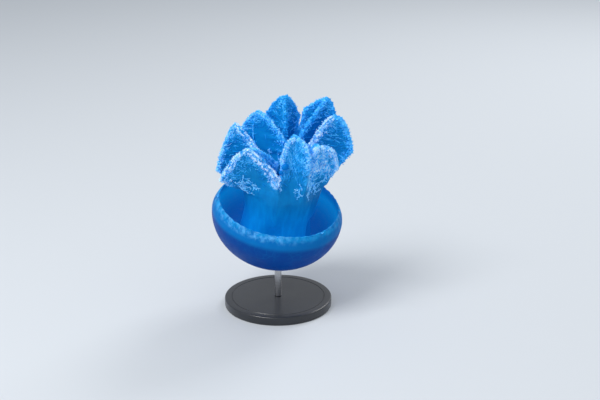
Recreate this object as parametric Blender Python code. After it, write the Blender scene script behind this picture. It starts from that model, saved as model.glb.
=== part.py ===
"""Blue blubber jellyfish swimming bell-down, life size, held over a round display stand.

The animal is modelled upright in its own frame, with the centre of the bell's widest ring at the
origin and the oral arms pointing along +Z, and an empty then leans it over the stand. Bearings
run round the animal's axis: 0 is the front, -Y, and 90 is +X. Metres throughout.
"""

import math

import bmesh
import bpy
from mathutils import Euler, Quaternion, Vector

GAP = 0.0003  # left between pieces that meet

# The bell: a bowl under its widest ring, and above that a margin that leans inwards. Below its
# flat inner floor the bowl is one thick lens of gel, and above it a wall parted in octants.
BELL_RADIUS = 0.075
BELL_DEPTH = 0.80 * BELL_RADIUS
OCTANTS = 8
OCTANT_COLUMNS = 5
OCTANT_GAP_DEG = 0.5
WALL = 0.0055  # thickness at the widest ring
FLOOR_RADIUS = 0.60 * BELL_RADIUS  # flat inner floor, where the arm disc stands
FLOOR_HEIGHT = -0.42 * BELL_RADIUS
APEX_STEPS = 6
WALL_STEPS = 4

# The margin: each octant has a row of rounded lappets along its rim.
MARGIN_HEIGHT = 0.19 * BELL_RADIUS
RIM_RADIUS = 0.93 * BELL_RADIUS
MARGIN_WALL = 0.0050
RIM_WALL = 0.0018
LAPPETS = 6  # in each octant
LAPPET_DEPTH = 0.0018

# The arm disc: a pillar with four pits between the roots of the paired arms.
DISC_RADIUS = 0.55 * BELL_RADIUS
DISC_TOP = 0.12 * BELL_RADIUS
DISC_SEGMENTS = 32
DISC_STEPS = 6
PIT_DEPTH = 0.22
PIT_BEARINGS = (-5, 80, 165, 253)
PIT_HALF_WIDTH_DEG = 17
FOOT_FLARE = 0.07

# Stalks: the smooth upper parts of the arms, wedges that stand side by side on the disc.
STALK_REACH = 0.52 * BELL_RADIUS  # outer corners at the foot
NECK_REACH = 0.58 * BELL_RADIUS  # and where the wings begin
STALK_CORE = 0.13 * BELL_RADIUS  # inner corners
STALK_STEPS = 4
STALK_EDGE = 0.0030  # rounding of the corners
STALK_SHARES = (0.0, 0.6)

# Wings: the three frilled keels that run from an arm's tip down to its shoulders.
WING_STEPS = (0.0, 0.08, 0.18, 0.28, 0.38, 0.48, 0.58, 0.69, 0.80, 0.91, 0.97, 1.0)
WING_SHARES = (0.0, 0.34, 0.70)  # places between a wing's edge and the valley beside it
EDGE_HALF = 0.0024  # half the thickness of a frilled edge
CORE_RADIUS = 0.12 * BELL_RADIUS
TIP_RADIUS = 0.0042
FRILL = 0.0009  # how far the edge weaves in and out

# One row for each arm: bearing in degrees, then reach and height as shares of the bell's radius.
# left, right and inner are the shoulders of its three wings. foot and neck are the bearings of
# the stalk's sides, low and high, base is the stalk's height and bow rounds the arm's outline.
ARMS = (
    {"tip": (-53, 0.745, 1.295), "left": (-69, 0.99, 0.66), "right": (-8, 0.56, 0.95),
     "inner": (-46, 0.18, 0.95), "foot": (-62, -5), "neck": (-68, -5), "base": 0.46, "bow": 0.60},
    {"tip": (15, 0.31, 1.51), "left": (-13, 0.41, 1.18), "right": (31, 0.63, 1.24),
     "inner": (30, 0.05, 1.08), "foot": (-5, 37), "neck": (-4, 36), "base": 0.52, "bow": 0.28},
    {"tip": (46, 0.60, 1.48), "left": (36.4, 0.50, 1.28), "right": (70, 0.80, 1.08),
     "inner": (57, 0.24, 0.86), "foot": (37, 80), "neck": (37, 78), "base": 0.52, "bow": 0.30},
    {"tip": (103, 0.62, 1.70), "left": (97, 0.97, 1.16), "right": (116, 0.97, 1.26),
     "inner": (84, 0.28, 1.20), "foot": (80, 121), "neck": (80, 119), "base": 0.56, "bow": 0.50},
    {"tip": (137, 0.75, 1.775), "left": (125, 0.86, 1.50), "right": (162, 0.57, 1.54),
     "inner": (147, 0.24, 1.20), "foot": (121, 165), "neck": (122, 164), "base": 0.60, "bow": 0.68},
    {"tip": (193, 0.54, 1.725), "left": (169, 0.70, 1.34), "right": (205, 0.83, 1.30),
     "inner": (189, 0.20, 1.08), "foot": (165, 209), "neck": (167, 208), "base": 0.56, "bow": 0.66},
    {"tip": (228, 0.66, 1.46), "left": (214, 0.88, 1.00), "right": (240, 0.88, 0.98),
     "inner": (150, 0.03, 1.15), "foot": (209, 253), "neck": (211, 250), "base": 0.50, "bow": 0.62},
    {"tip": (266, 0.81, 1.40), "left": (254, 0.96, 0.76), "right": (274, 1.00, 0.66),
     "inner": (293, 0.36, 1.02), "foot": (253, 298), "neck": (253, 289), "base": 0.45, "bow": 0.72},
)

# The stand: a round foot, one rod, and a shallow cup under the bell.
BASE_RADIUS = 0.062
BASE_HEIGHT = 0.010
BASE_BEVEL = 0.0015
ROD_RADIUS = 0.004
ROD_LENGTH = 0.036
CUP_RADIUS = 0.013
CUP_THICKNESS = 0.0045
CUP_RINGS = 4
STAND_SEGMENTS = 32

# The pose: leaning towards the front and to +X.
LEAN_FRONT_DEG = 13
LEAN_SIDE_DEG = 8
BELL_CENTRE_Z = 0.1118


def material(name, colour, roughness, metallic=0.0):
    """A plain Principled material."""
    made = bpy.data.materials.new(name)
    made.use_nodes = True
    shader = made.node_tree.nodes["Principled BSDF"]
    shader.inputs["Base Color"].default_value = (*colour, 1)
    shader.inputs["Roughness"].default_value = roughness
    shader.inputs["Metallic"].default_value = metallic
    return made


def add_object(name, bm, finish, parent=None):
    """Turns a bmesh into a named object with its normals facing out."""
    bmesh.ops.recalc_face_normals(bm, faces=bm.faces)
    mesh = bpy.data.meshes.new(name)
    bm.to_mesh(mesh)
    bm.free()
    mesh.materials.append(finish)
    mesh.shade_smooth()
    mesh.set_sharp_from_angle(angle=math.radians(50))
    obj = bpy.data.objects.new(name, mesh)
    obj.parent = parent
    bpy.context.scene.collection.objects.link(obj)
    return obj


def around(bearing, reach, height):
    """The point at that bearing in degrees, distance from the axis and height."""
    angle = math.radians(bearing)
    return Vector((reach * math.sin(angle), -reach * math.cos(angle), height))


def shoulder_point(place):
    """The same for a row of ARMS, whose reach and height are shares of the bell's radius."""
    bearing, reach, height = place
    return around(bearing, reach * BELL_RADIUS, height * BELL_RADIUS)


def skin_rings(rings, closed_ends=True):
    """A bmesh tube through rings of equally many points, with a fan of triangles on each end."""
    bm = bmesh.new()
    loops = [[bm.verts.new(point) for point in ring] for ring in rings]
    count = len(loops[0])
    for low, high in zip(loops, loops[1:]):
        for i in range(count):
            j = (i + 1) % count
            bm.faces.new((low[i], low[j], high[j], high[i]))
    if closed_ends:
        for loop in (loops[0], loops[-1]):
            centre = bm.verts.new(sum((v.co for v in loop), Vector()) / count)
            for i in range(count):
                bm.faces.new((centre, loop[i], loop[(i + 1) % count]))
    return bm


def spun(profile, segments):
    """A bmesh turned round the Z axis from (radius, height) points that start and end on it."""
    bm = bmesh.new()
    verts = [bm.verts.new((radius, 0, height)) for radius, height in profile]
    edges = [bm.edges.new(pair) for pair in zip(verts, verts[1:])]
    bmesh.ops.spin(bm, geom=verts + edges, cent=(0, 0, 0), axis=(0, 0, 1),
                   angle=math.tau, steps=segments, use_merge=True)
    bmesh.ops.remove_doubles(bm, verts=bm.verts, dist=1e-6)
    return bm


def bowl_outside(turn_deg):
    """The bowl's outer ellipse as (radius, height), from its lowest point at 0 degrees."""
    turn = math.radians(turn_deg)
    return BELL_RADIUS * math.sin(turn), -BELL_DEPTH * math.cos(turn)


def bell_apex(finish, pose):
    """The thick lens of gel below the inner floor."""
    floor_turn = math.degrees(math.acos(-FLOOR_HEIGHT / BELL_DEPTH))
    profile = [bowl_outside(floor_turn * i / APEX_STEPS) for i in range(APEX_STEPS + 1)]
    return add_object("bell_apex", spun(profile + [(0, FLOOR_HEIGHT)], OCTANTS * OCTANT_COLUMNS),
                      finish, pose)


def octant_bearings(number, columns):
    """Evenly spaced bearings across an octant, without the gap to its neighbours."""
    span = 360 / OCTANTS
    first = (number - 1) * span + OCTANT_GAP_DEG / 2
    return [first + (span - OCTANT_GAP_DEG) * i / columns for i in range(columns + 1)]


def bell_wall(number, finish, pose):
    """An eighth of the bowl's wall: the ellipse outside, and inside a curve up from the floor."""
    low = FLOOR_HEIGHT + GAP
    floor_turn = math.degrees(math.acos(-low / BELL_DEPTH))
    profile = [bowl_outside(floor_turn + (90 - floor_turn) * i / WALL_STEPS)
               for i in range(WALL_STEPS + 1)]
    for i in range(WALL_STEPS + 1):
        turn = math.radians(90 * i / WALL_STEPS)
        reach = FLOOR_RADIUS + (BELL_RADIUS - WALL - FLOOR_RADIUS) * math.cos(turn)
        profile.append((reach, low * math.sin(turn)))
    rings = [[around(bearing, reach, height) for reach, height in profile]
             for bearing in octant_bearings(number, OCTANT_COLUMNS)]
    return add_object(f"bell_wall_{number}", skin_rings(rings), finish, pose)


def margin_octant(number, finish, pose):
    """An eighth of the margin, a curved plate whose rim dips between its lappets."""
    bulge = 0.985 * BELL_RADIUS
    middle = 0.55 * MARGIN_HEIGHT
    rings = []
    for i, bearing in enumerate(octant_bearings(number, 3 * LAPPETS)):
        top = MARGIN_HEIGHT - (LAPPET_DEPTH if i % 3 == 0 else 0)
        rings.append([around(bearing, reach, height) for reach, height in (
            (BELL_RADIUS, GAP), (bulge, middle), (RIM_RADIUS, top),
            (RIM_RADIUS - RIM_WALL, top), (BELL_RADIUS - MARGIN_WALL, GAP))])
    return add_object(f"margin_octant_{number}", skin_rings(rings), finish, pose)


def pit_share(bearing):
    """1 in the middle of a pit of the arm disc, falling to 0 at its sides."""
    nearest = min(abs((bearing - pit + 180) % 360 - 180) for pit in PIT_BEARINGS)
    return math.exp(-((nearest / PIT_HALF_WIDTH_DEG) ** 2))


def arm_disc(finish, pose):
    """The pillar in the middle of the bell, flared at its foot and hollowed by the four pits."""
    rings = []
    for step in range(DISC_STEPS):
        share = step / (DISC_STEPS - 1)
        height = FLOOR_HEIGHT + GAP + (DISC_TOP - FLOOR_HEIGHT - 2 * GAP) * share
        flare = 1 + FOOT_FLARE * (1 - share) ** 2 - 0.06 * share**3
        hollow = PIT_DEPTH * math.sin(math.pi * share)
        rings.append([around(bearing, DISC_RADIUS * flare * (1 - hollow * pit_share(bearing)),
                             height)
                      for bearing in (360 * i / DISC_SEGMENTS for i in range(DISC_SEGMENTS))])
    return add_object("arm_disc", skin_rings(rings), finish, pose)


def stalk_corners(arm, share):
    """A stalk's left, right and inner corners, from the disc at share 0 to its top at 1."""
    height = DISC_TOP + GAP + (arm["base"] * BELL_RADIUS - DISC_TOP - 2 * GAP) * share
    reach = STALK_REACH + (NECK_REACH - STALK_REACH) * share
    low, high = (foot + (neck - foot) * share for foot, neck in zip(arm["foot"], arm["neck"]))
    inset = math.degrees(STALK_EDGE / reach) + 1.6
    return [around(low + inset, reach, height), around(high - inset, reach, height),
            around((low + high) / 2, STALK_CORE, height)]


def three_winged(centre, along, edges, half, core, hollow, shares):
    """The outline round three edges: rounded at each one and curving in to the core between.

    hollow runs from 0, where the sides are straight, to 1, where they reach in to the core.
    """
    outward = [(edge - centre - along * (edge - centre).dot(along)).normalized()
               for edge in edges]
    points = []
    for i, edge in enumerate(edges):
        side = along.cross(outward[i]).normalized()
        reach = (edge - centre).length
        for hand, j in ((-1, i - 1), (1, (i + 1) % 3)):
            # neither flank may pass the direction halfway to the next edge
            opening = math.tan(outward[i].angle(outward[j]) / 2)
            width = min(half, 0.45 * reach, 0.8 * reach * opening)
            between = outward[i] + outward[j]
            if between.length < 0.1 or between.dot(side) * hand < 0:
                between = side * hand
            valley = ((edges[j] + edge) / 2).lerp(centre + between.normalized() * core, hollow)
            start = edge + side * hand * width
            swell = min(1.5 * width, 0.3 * reach * opening)
            bend = ((start + valley) / 2).lerp(
                centre + (edge - centre) * 0.40 + side * hand * swell, hollow)
            flank = [start * (1 - q) ** 2 + bend * 2 * q * (1 - q) + valley * q * q
                     for q in shares]
            if hand < 0:
                points += flank[::-1]
                points.append(edge + outward[i] * width * 0.8)
            else:
                points += flank
                points.append(valley)
    return points


def arm_stalk(number, arm, finish, pose):
    """The smooth part of an arm, a rounded wedge on the disc."""
    rings = []
    for step in range(STALK_STEPS):
        corners = stalk_corners(arm, step / (STALK_STEPS - 1))
        centre = sum(corners, Vector()) / 3
        rings.append(three_winged(centre, Vector((0, 0, 1)), corners, STALK_EDGE,
                                  CORE_RADIUS, 0.0, STALK_SHARES))
    return add_object(f"arm_stalk_{number}", skin_rings(rings), finish, pose)


def wing_edge(stub, shoulder, tip, centre, along, share, bow):
    """A wing's edge in one cross-section: out from the stalk to the shoulder, then to the tip."""
    root = centre
    length = (tip - root).dot(along)
    turn = min(0.75, max(0.12, (shoulder - root).dot(along) / length))
    if share < turn:
        return stub.lerp(shoulder, (share / turn) ** 1.15)
    fall = (1 - share) / (1 - turn)
    reach = shoulder - tip
    lift = along * reach.dot(along)
    return tip + lift * fall + (reach - lift) * fall**bow


def arm_wings(number, arm, finish, pose):
    """The frilled part of an arm: three keels that meet along its middle."""
    stubs = stalk_corners(arm, 1)
    for stub in stubs:
        stub.z = arm["base"] * BELL_RADIUS
    root = sum(stubs, Vector()) / 3
    tip = shoulder_point(arm["tip"])
    axis = (tip - root).normalized()
    shoulders = [shoulder_point(arm[wing]) for wing in ("left", "right", "inner")]
    rings = []
    for i, share in enumerate(WING_STEPS):
        centre = root.lerp(tip, share)
        edges = [wing_edge(stub, shoulder, tip, root, axis, share, arm["bow"])
                 for stub, shoulder in zip(stubs, shoulders)]
        lean = min(1, share / 0.3)
        along = Vector((0, 0, 1)).lerp(axis, lean).normalized()
        weave = FRILL * (1 if i % 2 else -1) * min(1, 4 * share * (1 - share))
        blunt = TIP_RADIUS * math.sqrt(1 - max(0, (share - 0.91) / 0.1) ** 2)
        inward = shoulders[2] - tip
        inward = (inward - along * inward.dot(along)).normalized()
        for k, edge in enumerate(edges):
            out = edge - centre
            out -= along * out.dot(along)
            if out.length < blunt:
                out = shoulders[k] - tip
                out = (out - along * out.dot(along)).normalized()
                # the very end is round, its three corners evenly spread
                even = Quaternion(along, math.radians(120 * (k + 1))) @ inward
                out = out.lerp(even, min(1, max(0, (share - 0.91) / 0.06)))
                edges[k] = centre + out.normalized() * blunt
            elif share:
                edges[k] = edge + out.normalized() * weave
        core = CORE_RADIUS + (0.6 * blunt - CORE_RADIUS) * share
        half = STALK_EDGE + (EDGE_HALF - STALK_EDGE) * lean
        ring = three_winged(centre, along, edges, half, core, lean, WING_SHARES)
        rings.append([Vector((p.x, p.y, root.z)) for p in ring] if i == 0 else ring)
    return add_object(f"arm_wings_{number}", skin_rings(rings), finish, pose)


def stand_base(finish):
    """A round flat foot with a softened edge."""
    low, high = BASE_RADIUS - BASE_BEVEL, BASE_HEIGHT - BASE_BEVEL
    profile = [(0, 0), (low, 0), (BASE_RADIUS, BASE_BEVEL), (BASE_RADIUS, high),
               (low, BASE_HEIGHT), (0, BASE_HEIGHT)]
    return add_object("stand_base", spun(profile, STAND_SEGMENTS), finish)


def stand_rod(finish):
    """The upright rod between foot and cup."""
    low = BASE_HEIGHT + GAP
    high = BASE_HEIGHT + ROD_LENGTH
    profile = [(0, low), (ROD_RADIUS, low), (ROD_RADIUS, high), (0, high)]
    return add_object("stand_rod", spun(profile, STAND_SEGMENTS // 2), finish)


def bell_underside(x, y, pose):
    """The height of the leaning bell's lower face straight over the point (x, y)."""
    inverse = pose.matrix_basis.inverted()
    origin = inverse @ Vector((x, y, 0))
    ray = (inverse.to_3x3() @ Vector((0, 0, 1))).normalized()
    flat = Vector((1 / BELL_RADIUS, 1 / BELL_RADIUS, 1 / BELL_DEPTH))
    start = origin * flat
    way = ray * flat
    a, b, c = way.dot(way), 2 * start.dot(way), start.dot(start) - 1
    return (-b - math.sqrt(b * b - 4 * a * c)) / (2 * a)


def stand_cup(finish, pose):
    """A shallow cup on the rod, whose top follows the bell a hair's breadth below it."""
    turns = [math.tau * i / STAND_SEGMENTS for i in range(STAND_SEGMENTS)]
    low = BASE_HEIGHT + ROD_LENGTH + GAP
    rings = [[Vector((ROD_RADIUS * 1.3 * math.cos(t), ROD_RADIUS * 1.3 * math.sin(t), low))
              for t in turns]]
    for drop in (CUP_THICKNESS, 2 * GAP):
        rings.append([Vector((CUP_RADIUS * math.cos(t), CUP_RADIUS * math.sin(t),
                              bell_underside(CUP_RADIUS * math.cos(t), CUP_RADIUS * math.sin(t),
                                             pose) - drop))
                      for t in turns])
    for i in range(1, CUP_RINGS):
        reach = CUP_RADIUS * (1 - i / CUP_RINGS)
        rings.append([Vector((reach * math.cos(t), reach * math.sin(t),
                              bell_underside(reach * math.cos(t), reach * math.sin(t), pose)
                              - 2 * GAP))
                      for t in turns])
    return add_object("stand_cup", skin_rings(rings), finish)


def main():
    for old in list(bpy.data.objects):
        bpy.data.objects.remove(old)
    gel = material("bell_gel", (0.03, 0.16, 0.48), 0.25)
    margin = material("margin_tissue", (0.08, 0.38, 0.74), 0.3)
    stalk = material("arm_gel", (0.05, 0.30, 0.66), 0.35)
    frill = material("frill_tissue", (0.42, 0.62, 0.92), 0.6)
    foot = material("stand_enamel", (0.03, 0.035, 0.045), 0.5)
    steel = material("stand_steel", (0.62, 0.62, 0.64), 0.3, 1.0)

    pose = bpy.data.objects.new("pose", None)
    pose.rotation_euler = Euler((math.radians(LEAN_FRONT_DEG), math.radians(LEAN_SIDE_DEG), 0))
    pose.location = (0, 0, BELL_CENTRE_Z)
    bpy.context.scene.collection.objects.link(pose)

    bell_apex(gel, pose)
    for number in range(1, OCTANTS + 1):
        bell_wall(number, gel, pose)
        margin_octant(number, margin, pose)
    arm_disc(stalk, pose)
    for number, arm in enumerate(ARMS, 1):
        arm_stalk(number, arm, stalk, pose)
        arm_wings(number, arm, frill, pose)
    stand_base(foot)
    stand_rod(steel)
    stand_cup(steel, pose)


main()
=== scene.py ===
import math
import bmesh
import bpy
import numpy as np
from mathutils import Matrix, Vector


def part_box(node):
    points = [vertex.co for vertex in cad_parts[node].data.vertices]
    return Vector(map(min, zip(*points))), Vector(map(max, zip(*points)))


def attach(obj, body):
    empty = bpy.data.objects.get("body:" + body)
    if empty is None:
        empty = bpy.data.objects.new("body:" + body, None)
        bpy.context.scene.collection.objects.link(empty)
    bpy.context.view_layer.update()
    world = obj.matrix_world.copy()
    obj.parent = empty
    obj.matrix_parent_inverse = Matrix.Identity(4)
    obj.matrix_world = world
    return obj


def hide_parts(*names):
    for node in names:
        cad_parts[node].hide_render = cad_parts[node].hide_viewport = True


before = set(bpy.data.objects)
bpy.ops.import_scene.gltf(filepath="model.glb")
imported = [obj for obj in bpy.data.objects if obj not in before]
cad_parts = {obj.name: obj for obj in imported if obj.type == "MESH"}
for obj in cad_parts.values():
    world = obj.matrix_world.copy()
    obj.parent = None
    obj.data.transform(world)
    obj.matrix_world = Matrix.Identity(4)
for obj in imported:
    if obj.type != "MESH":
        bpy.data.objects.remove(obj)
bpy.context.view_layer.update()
mm = 0.001

# The pose, and the bell's size and centre measured on the imported model's own boxes.
poseSettings = {
    "frontLean": 13,  # degrees the animal's axis tips to the front, -Y
    "sideLean": 8,  # and to +X
    "bowlDepth": 0.80,  # depth under the widest ring, as a share of the bell's radius
}


# Turn matrix: first a turn about X by the front lean, then one about Y by the side lean.
def leanMatrix(front, side):
    f, s = math.radians(front), math.radians(side)
    aboutX = np.array([[1, 0, 0], [0, math.cos(f), -math.sin(f)], [0, math.sin(f), math.cos(f)]])
    aboutY = np.array([[math.cos(s), 0, math.sin(s)], [0, 1, 0], [-math.sin(s), 0, math.cos(s)]])
    return aboutY @ aboutX


lean = leanMatrix(poseSettings["frontLean"], poseSettings["sideLean"])
bellNodes = [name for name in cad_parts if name.startswith("bell_")]
bellLow = np.min([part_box(name)[0] for name in bellNodes], axis=0)
bellHigh = np.max([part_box(name)[1] for name in bellNodes], axis=0)
axisTilt = lean[:, 2]
# The leaned bowl reaches radius x sqrt(1 - tx^2) to one side, where its widest ring ends, and
# radius x sqrt(1 - tx^2 + (depth tx)^2) to the other, where the ellipsoid does.
ringReach = math.sqrt(1 - axisTilt[0] ** 2)
bowlReach = math.sqrt(1 - axisTilt[0] ** 2 + (poseSettings["bowlDepth"] * axisTilt[0]) ** 2)
bellRadius = (bellHigh[0] - bellLow[0]) / (ringReach + bowlReach)
rodLow, rodHigh = (np.array(corner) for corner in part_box("stand_rod"))
bellCentre = np.array([(rodLow[0] + rodHigh[0]) / 2, (rodLow[1] + rodHigh[1]) / 2,
                       bellHigh[2] - bellRadius * math.sqrt(1 - axisTilt[2] ** 2)])
print("bell radius and centre", round(bellRadius, 4), bellCentre.round(4))


# Own frame to world: point x bell radius, leaned, then moved to the bell's centre.
def toWorld(points):
    return (points * bellRadius) @ lean.T + bellCentre


# Bearing in degrees, reach and height to x, y, z: x = reach sin, y = -reach cos.
def around(bearing, reach, height):
    turn = np.radians(bearing)
    return np.stack(np.broadcast_arrays(reach * np.sin(turn), -reach * np.cos(turn), height), -1)


# Smooth step: x x (3 - 2 x) of the share of the way from low to high.
def smooth(low, high, value):
    x = np.clip((value - low) / (high - low), 0, 1)
    return x * x * (3 - 2 * x)


# Vectors divided by their own lengths.
def unit(vectors):
    return vectors / np.maximum(np.linalg.norm(vectors, axis=-1, keepdims=True), 1e-12)


# Quads of a grid of rows x columns, whose last column joins the first.
def gridQuads(rows, columns):
    r, c = np.meshgrid(np.arange(rows - 1), np.arange(columns), indexing="ij")
    after = (c + 1) % columns
    quads = np.stack([r * columns + c, r * columns + after,
                      (r + 1) * columns + after, (r + 1) * columns + c], -1)
    return quads.reshape(-1, 4)


# Fans of triangles from two end points, numbered after the grid's own, to its first and last rows.
def gridFans(rows, columns):
    ring = np.arange(columns)
    after = (ring + 1) % columns
    last = (rows - 1) * columns
    low, high = np.full(columns, rows * columns), np.full(columns, rows * columns + 1)
    return np.concatenate([np.stack([low, after, ring], 1),
                           np.stack([high, last + ring, last + after], 1)])


# A mesh object from points, quads and triangles; fields are one number for each point.
def meshObject(name, points, quads, triangles=None, fields=None, uv=None):
    triangles = np.zeros((0, 3), int) if triangles is None else triangles
    mesh = bpy.data.meshes.new(name)
    corners = np.concatenate([quads.ravel(), triangles.ravel()])
    sizes = np.concatenate([np.full(len(quads), 4), np.full(len(triangles), 3)])
    mesh.vertices.add(len(points))
    mesh.vertices.foreach_set("co", points.astype(np.float32).ravel())
    mesh.loops.add(len(corners))
    mesh.loops.foreach_set("vertex_index", corners.astype(np.int32))
    mesh.polygons.add(len(sizes))
    mesh.polygons.foreach_set("loop_start", (np.cumsum(sizes) - sizes).astype(np.int32))
    mesh.polygons.foreach_set("loop_total", sizes.astype(np.int32))
    mesh.update(calc_edges=True)
    mesh.shade_smooth()
    for field, values in (fields or {}).items():
        layer = mesh.attributes.new(field, "FLOAT", "POINT")
        layer.data.foreach_set("value", values.astype(np.float32).ravel())
    if uv is not None:
        layer = mesh.uv_layers.new(name="OFBake")
        layer.data.foreach_set("uv", uv[corners].astype(np.float32).ravel())
    made = bpy.data.objects.new(name, mesh)
    bpy.context.scene.collection.objects.link(made)
    return made


bellSettings = {
    "wall": 5.5 * mm,  # at the widest ring
    "marginHeight": 0.19,
    "marginCurl": 1.7,  # the power of the height by which the margin turns in
    "rimRadius": 0.93,
    "rimWall": 1.7 * mm,
    "floorRadius": 0.60,
    "floorHeight": -0.42,
    "discRadius": 0.55,
    "discTop": 0.12,
    "discFlare": 0.07,
    "pits": (-5, 80, 165, 253),  # bearings of the four pits in the disc's side
    "pitDepth": 0.24,
    "pitWidth": 17,  # degrees
    "lappets": 48,
    "lappetDepth": 0.8 * mm,
    "furrowDepth": 0.18 * mm,
    "notches": 8,  # deeper than the rest, one to each sense organ
    "notchWidth": 1.5,  # degrees
    "inset": 0.15 * mm,  # keeps the skin inside the solids
    "columns": 288,
    "rows": (38, 14, 7, 13, 24, 24, 8),  # bowl, margin up, rim, margin down, floor, disc and its top
}


# The profile from the bottom pole outwards, over the rim, down inside, and up over the disc.
# It gives reach, height, the share of the way up the margin, and 1 for the rows inside the bell,
# or 2 for the disc. Bowl, floor and disc top are quarter ellipses, and the rim is a half circle.
def bellProfile(s):
    wall, rimWall = s["wall"] / bellRadius, s["rimWall"] / bellRadius
    floor, disc, curl = s["floorHeight"], s["discRadius"], 1 - s["rimRadius"]
    quarters = [np.radians(np.linspace(0, 90, count)) for count in s["rows"]]
    shares = [np.linspace(0, 1, count) for count in s["rows"]]
    turn = quarters[0]
    parts = [(np.sin(turn), -poseSettings["bowlDepth"] * np.cos(turn), 0, 0)]
    up = shares[1][1:]
    parts.append((1 - curl * up ** s["marginCurl"], s["marginHeight"] * up, up, 0))
    bend = np.radians(np.linspace(0, 180, s["rows"][2]))[1:-1]
    parts.append((s["rimRadius"] - rimWall / 2 + rimWall / 2 * np.cos(bend),
                  s["marginHeight"] + rimWall / 2 * np.sin(bend), 1, bend / np.pi))
    down = np.linspace(1, 0, s["rows"][3])
    parts.append((1 - curl * down ** s["marginCurl"] - rimWall - (wall - rimWall) * (1 - down),
                  s["marginHeight"] * down, down, 1))
    turn = quarters[4][1:]
    parts.append((s["floorRadius"] + (1 - wall - s["floorRadius"]) * np.cos(turn),
                  floor * np.sin(turn), 0, 1))
    q = shares[5]
    parts.append((disc * (1 + s["discFlare"] * (1 - q) ** 2 - 0.06 * q**3),
                  floor + (s["discTop"] - floor) * q, 0, 2))
    turn = quarters[6][1:]
    parts.append((disc * 0.94 * np.cos(turn) ** 0.6, s["discTop"] + 0.03 * np.sin(turn), 0, 2))
    columns = zip(*(np.broadcast_arrays(*part) for part in parts))
    return [np.concatenate(column)[:, None] for column in columns]


# The bell as a grid: rows are the profile's points and columns are bearings.
def bellGrid(s):
    reach, height, rise, inside = bellProfile(s)
    bearing = (np.arange(s["columns"]) * 360 / s["columns"])[None, :]
    # Lappets: the rim dips where |sin| of half the lappet count x bearing is near 0.
    wave = np.abs(np.sin(np.radians(bearing * s["lappets"] / 2)))
    apart = 360 / s["notches"]
    fromNotch = np.abs((bearing + apart / 2) % apart - apart / 2)
    notch = np.exp(-((fromNotch / s["notchWidth"]) ** 2))
    dip = s["lappetDepth"] / bellRadius * (1 - wave**0.7 + 0.6 * notch)
    z = height - dip * rise**2
    furrow = s["furrowDepth"] / bellRadius * (1 - wave) ** 3 * smooth(0.05, 0.6, rise)
    r = reach - furrow
    # Pits: the disc's side is hollowed by a bell curve round each pit's bearing.
    q = np.clip((height - s["floorHeight"]) / (s["discTop"] - s["floorHeight"]), 0, 1)
    nearest = np.min([np.abs((bearing - pit + 180) % 360 - 180) for pit in s["pits"]], axis=0)
    near = np.exp(-((nearest / s["pitWidth"]) ** 2))
    r = r * (1 - s["pitDepth"] * np.sin(np.pi * q) * near * (inside > 1.5))
    # Slow unevenness, so that the gel doesn't look turned on a lathe.
    r = r * (1 - 0.004 + 0.004 * np.sin(np.radians(3 * bearing + 40)) * smooth(-0.7, 0, height))
    z = z + rise * 0.006 * (np.sin(np.radians(5 * bearing + 70)) - 1)
    full = np.ones_like(z)
    return around(bearing * full, r * full, z), rise * full, inside * full


# What most arms have. frill is the frill's fullness, innerFrill what the inner wing has of it, and
# jag its unevenness. For the left, right and inner edge, pale is the frill's paleness, width its
# half width in millimetres, downTo how far down it goes, as a share of the shoulder's height, and
# swell how large its lowest lumps are. lobes are bare round swellings: share of the height,
# column, and radius in millimetres. seams are lines of small lumps: column and lowest share.
usualArm = {"frill": 1.0, "innerFrill": 0.8, "pale": (1, 1, 1), "width": (5, 5, 5),
            "downTo": (0.72, 0.72, 0.72), "swell": (1, 1, 1), "lobes": (), "seams": (),
            "twigs": ((0.40, 68, 10, 9), (0.40, 52, -10, 9))}

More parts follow.
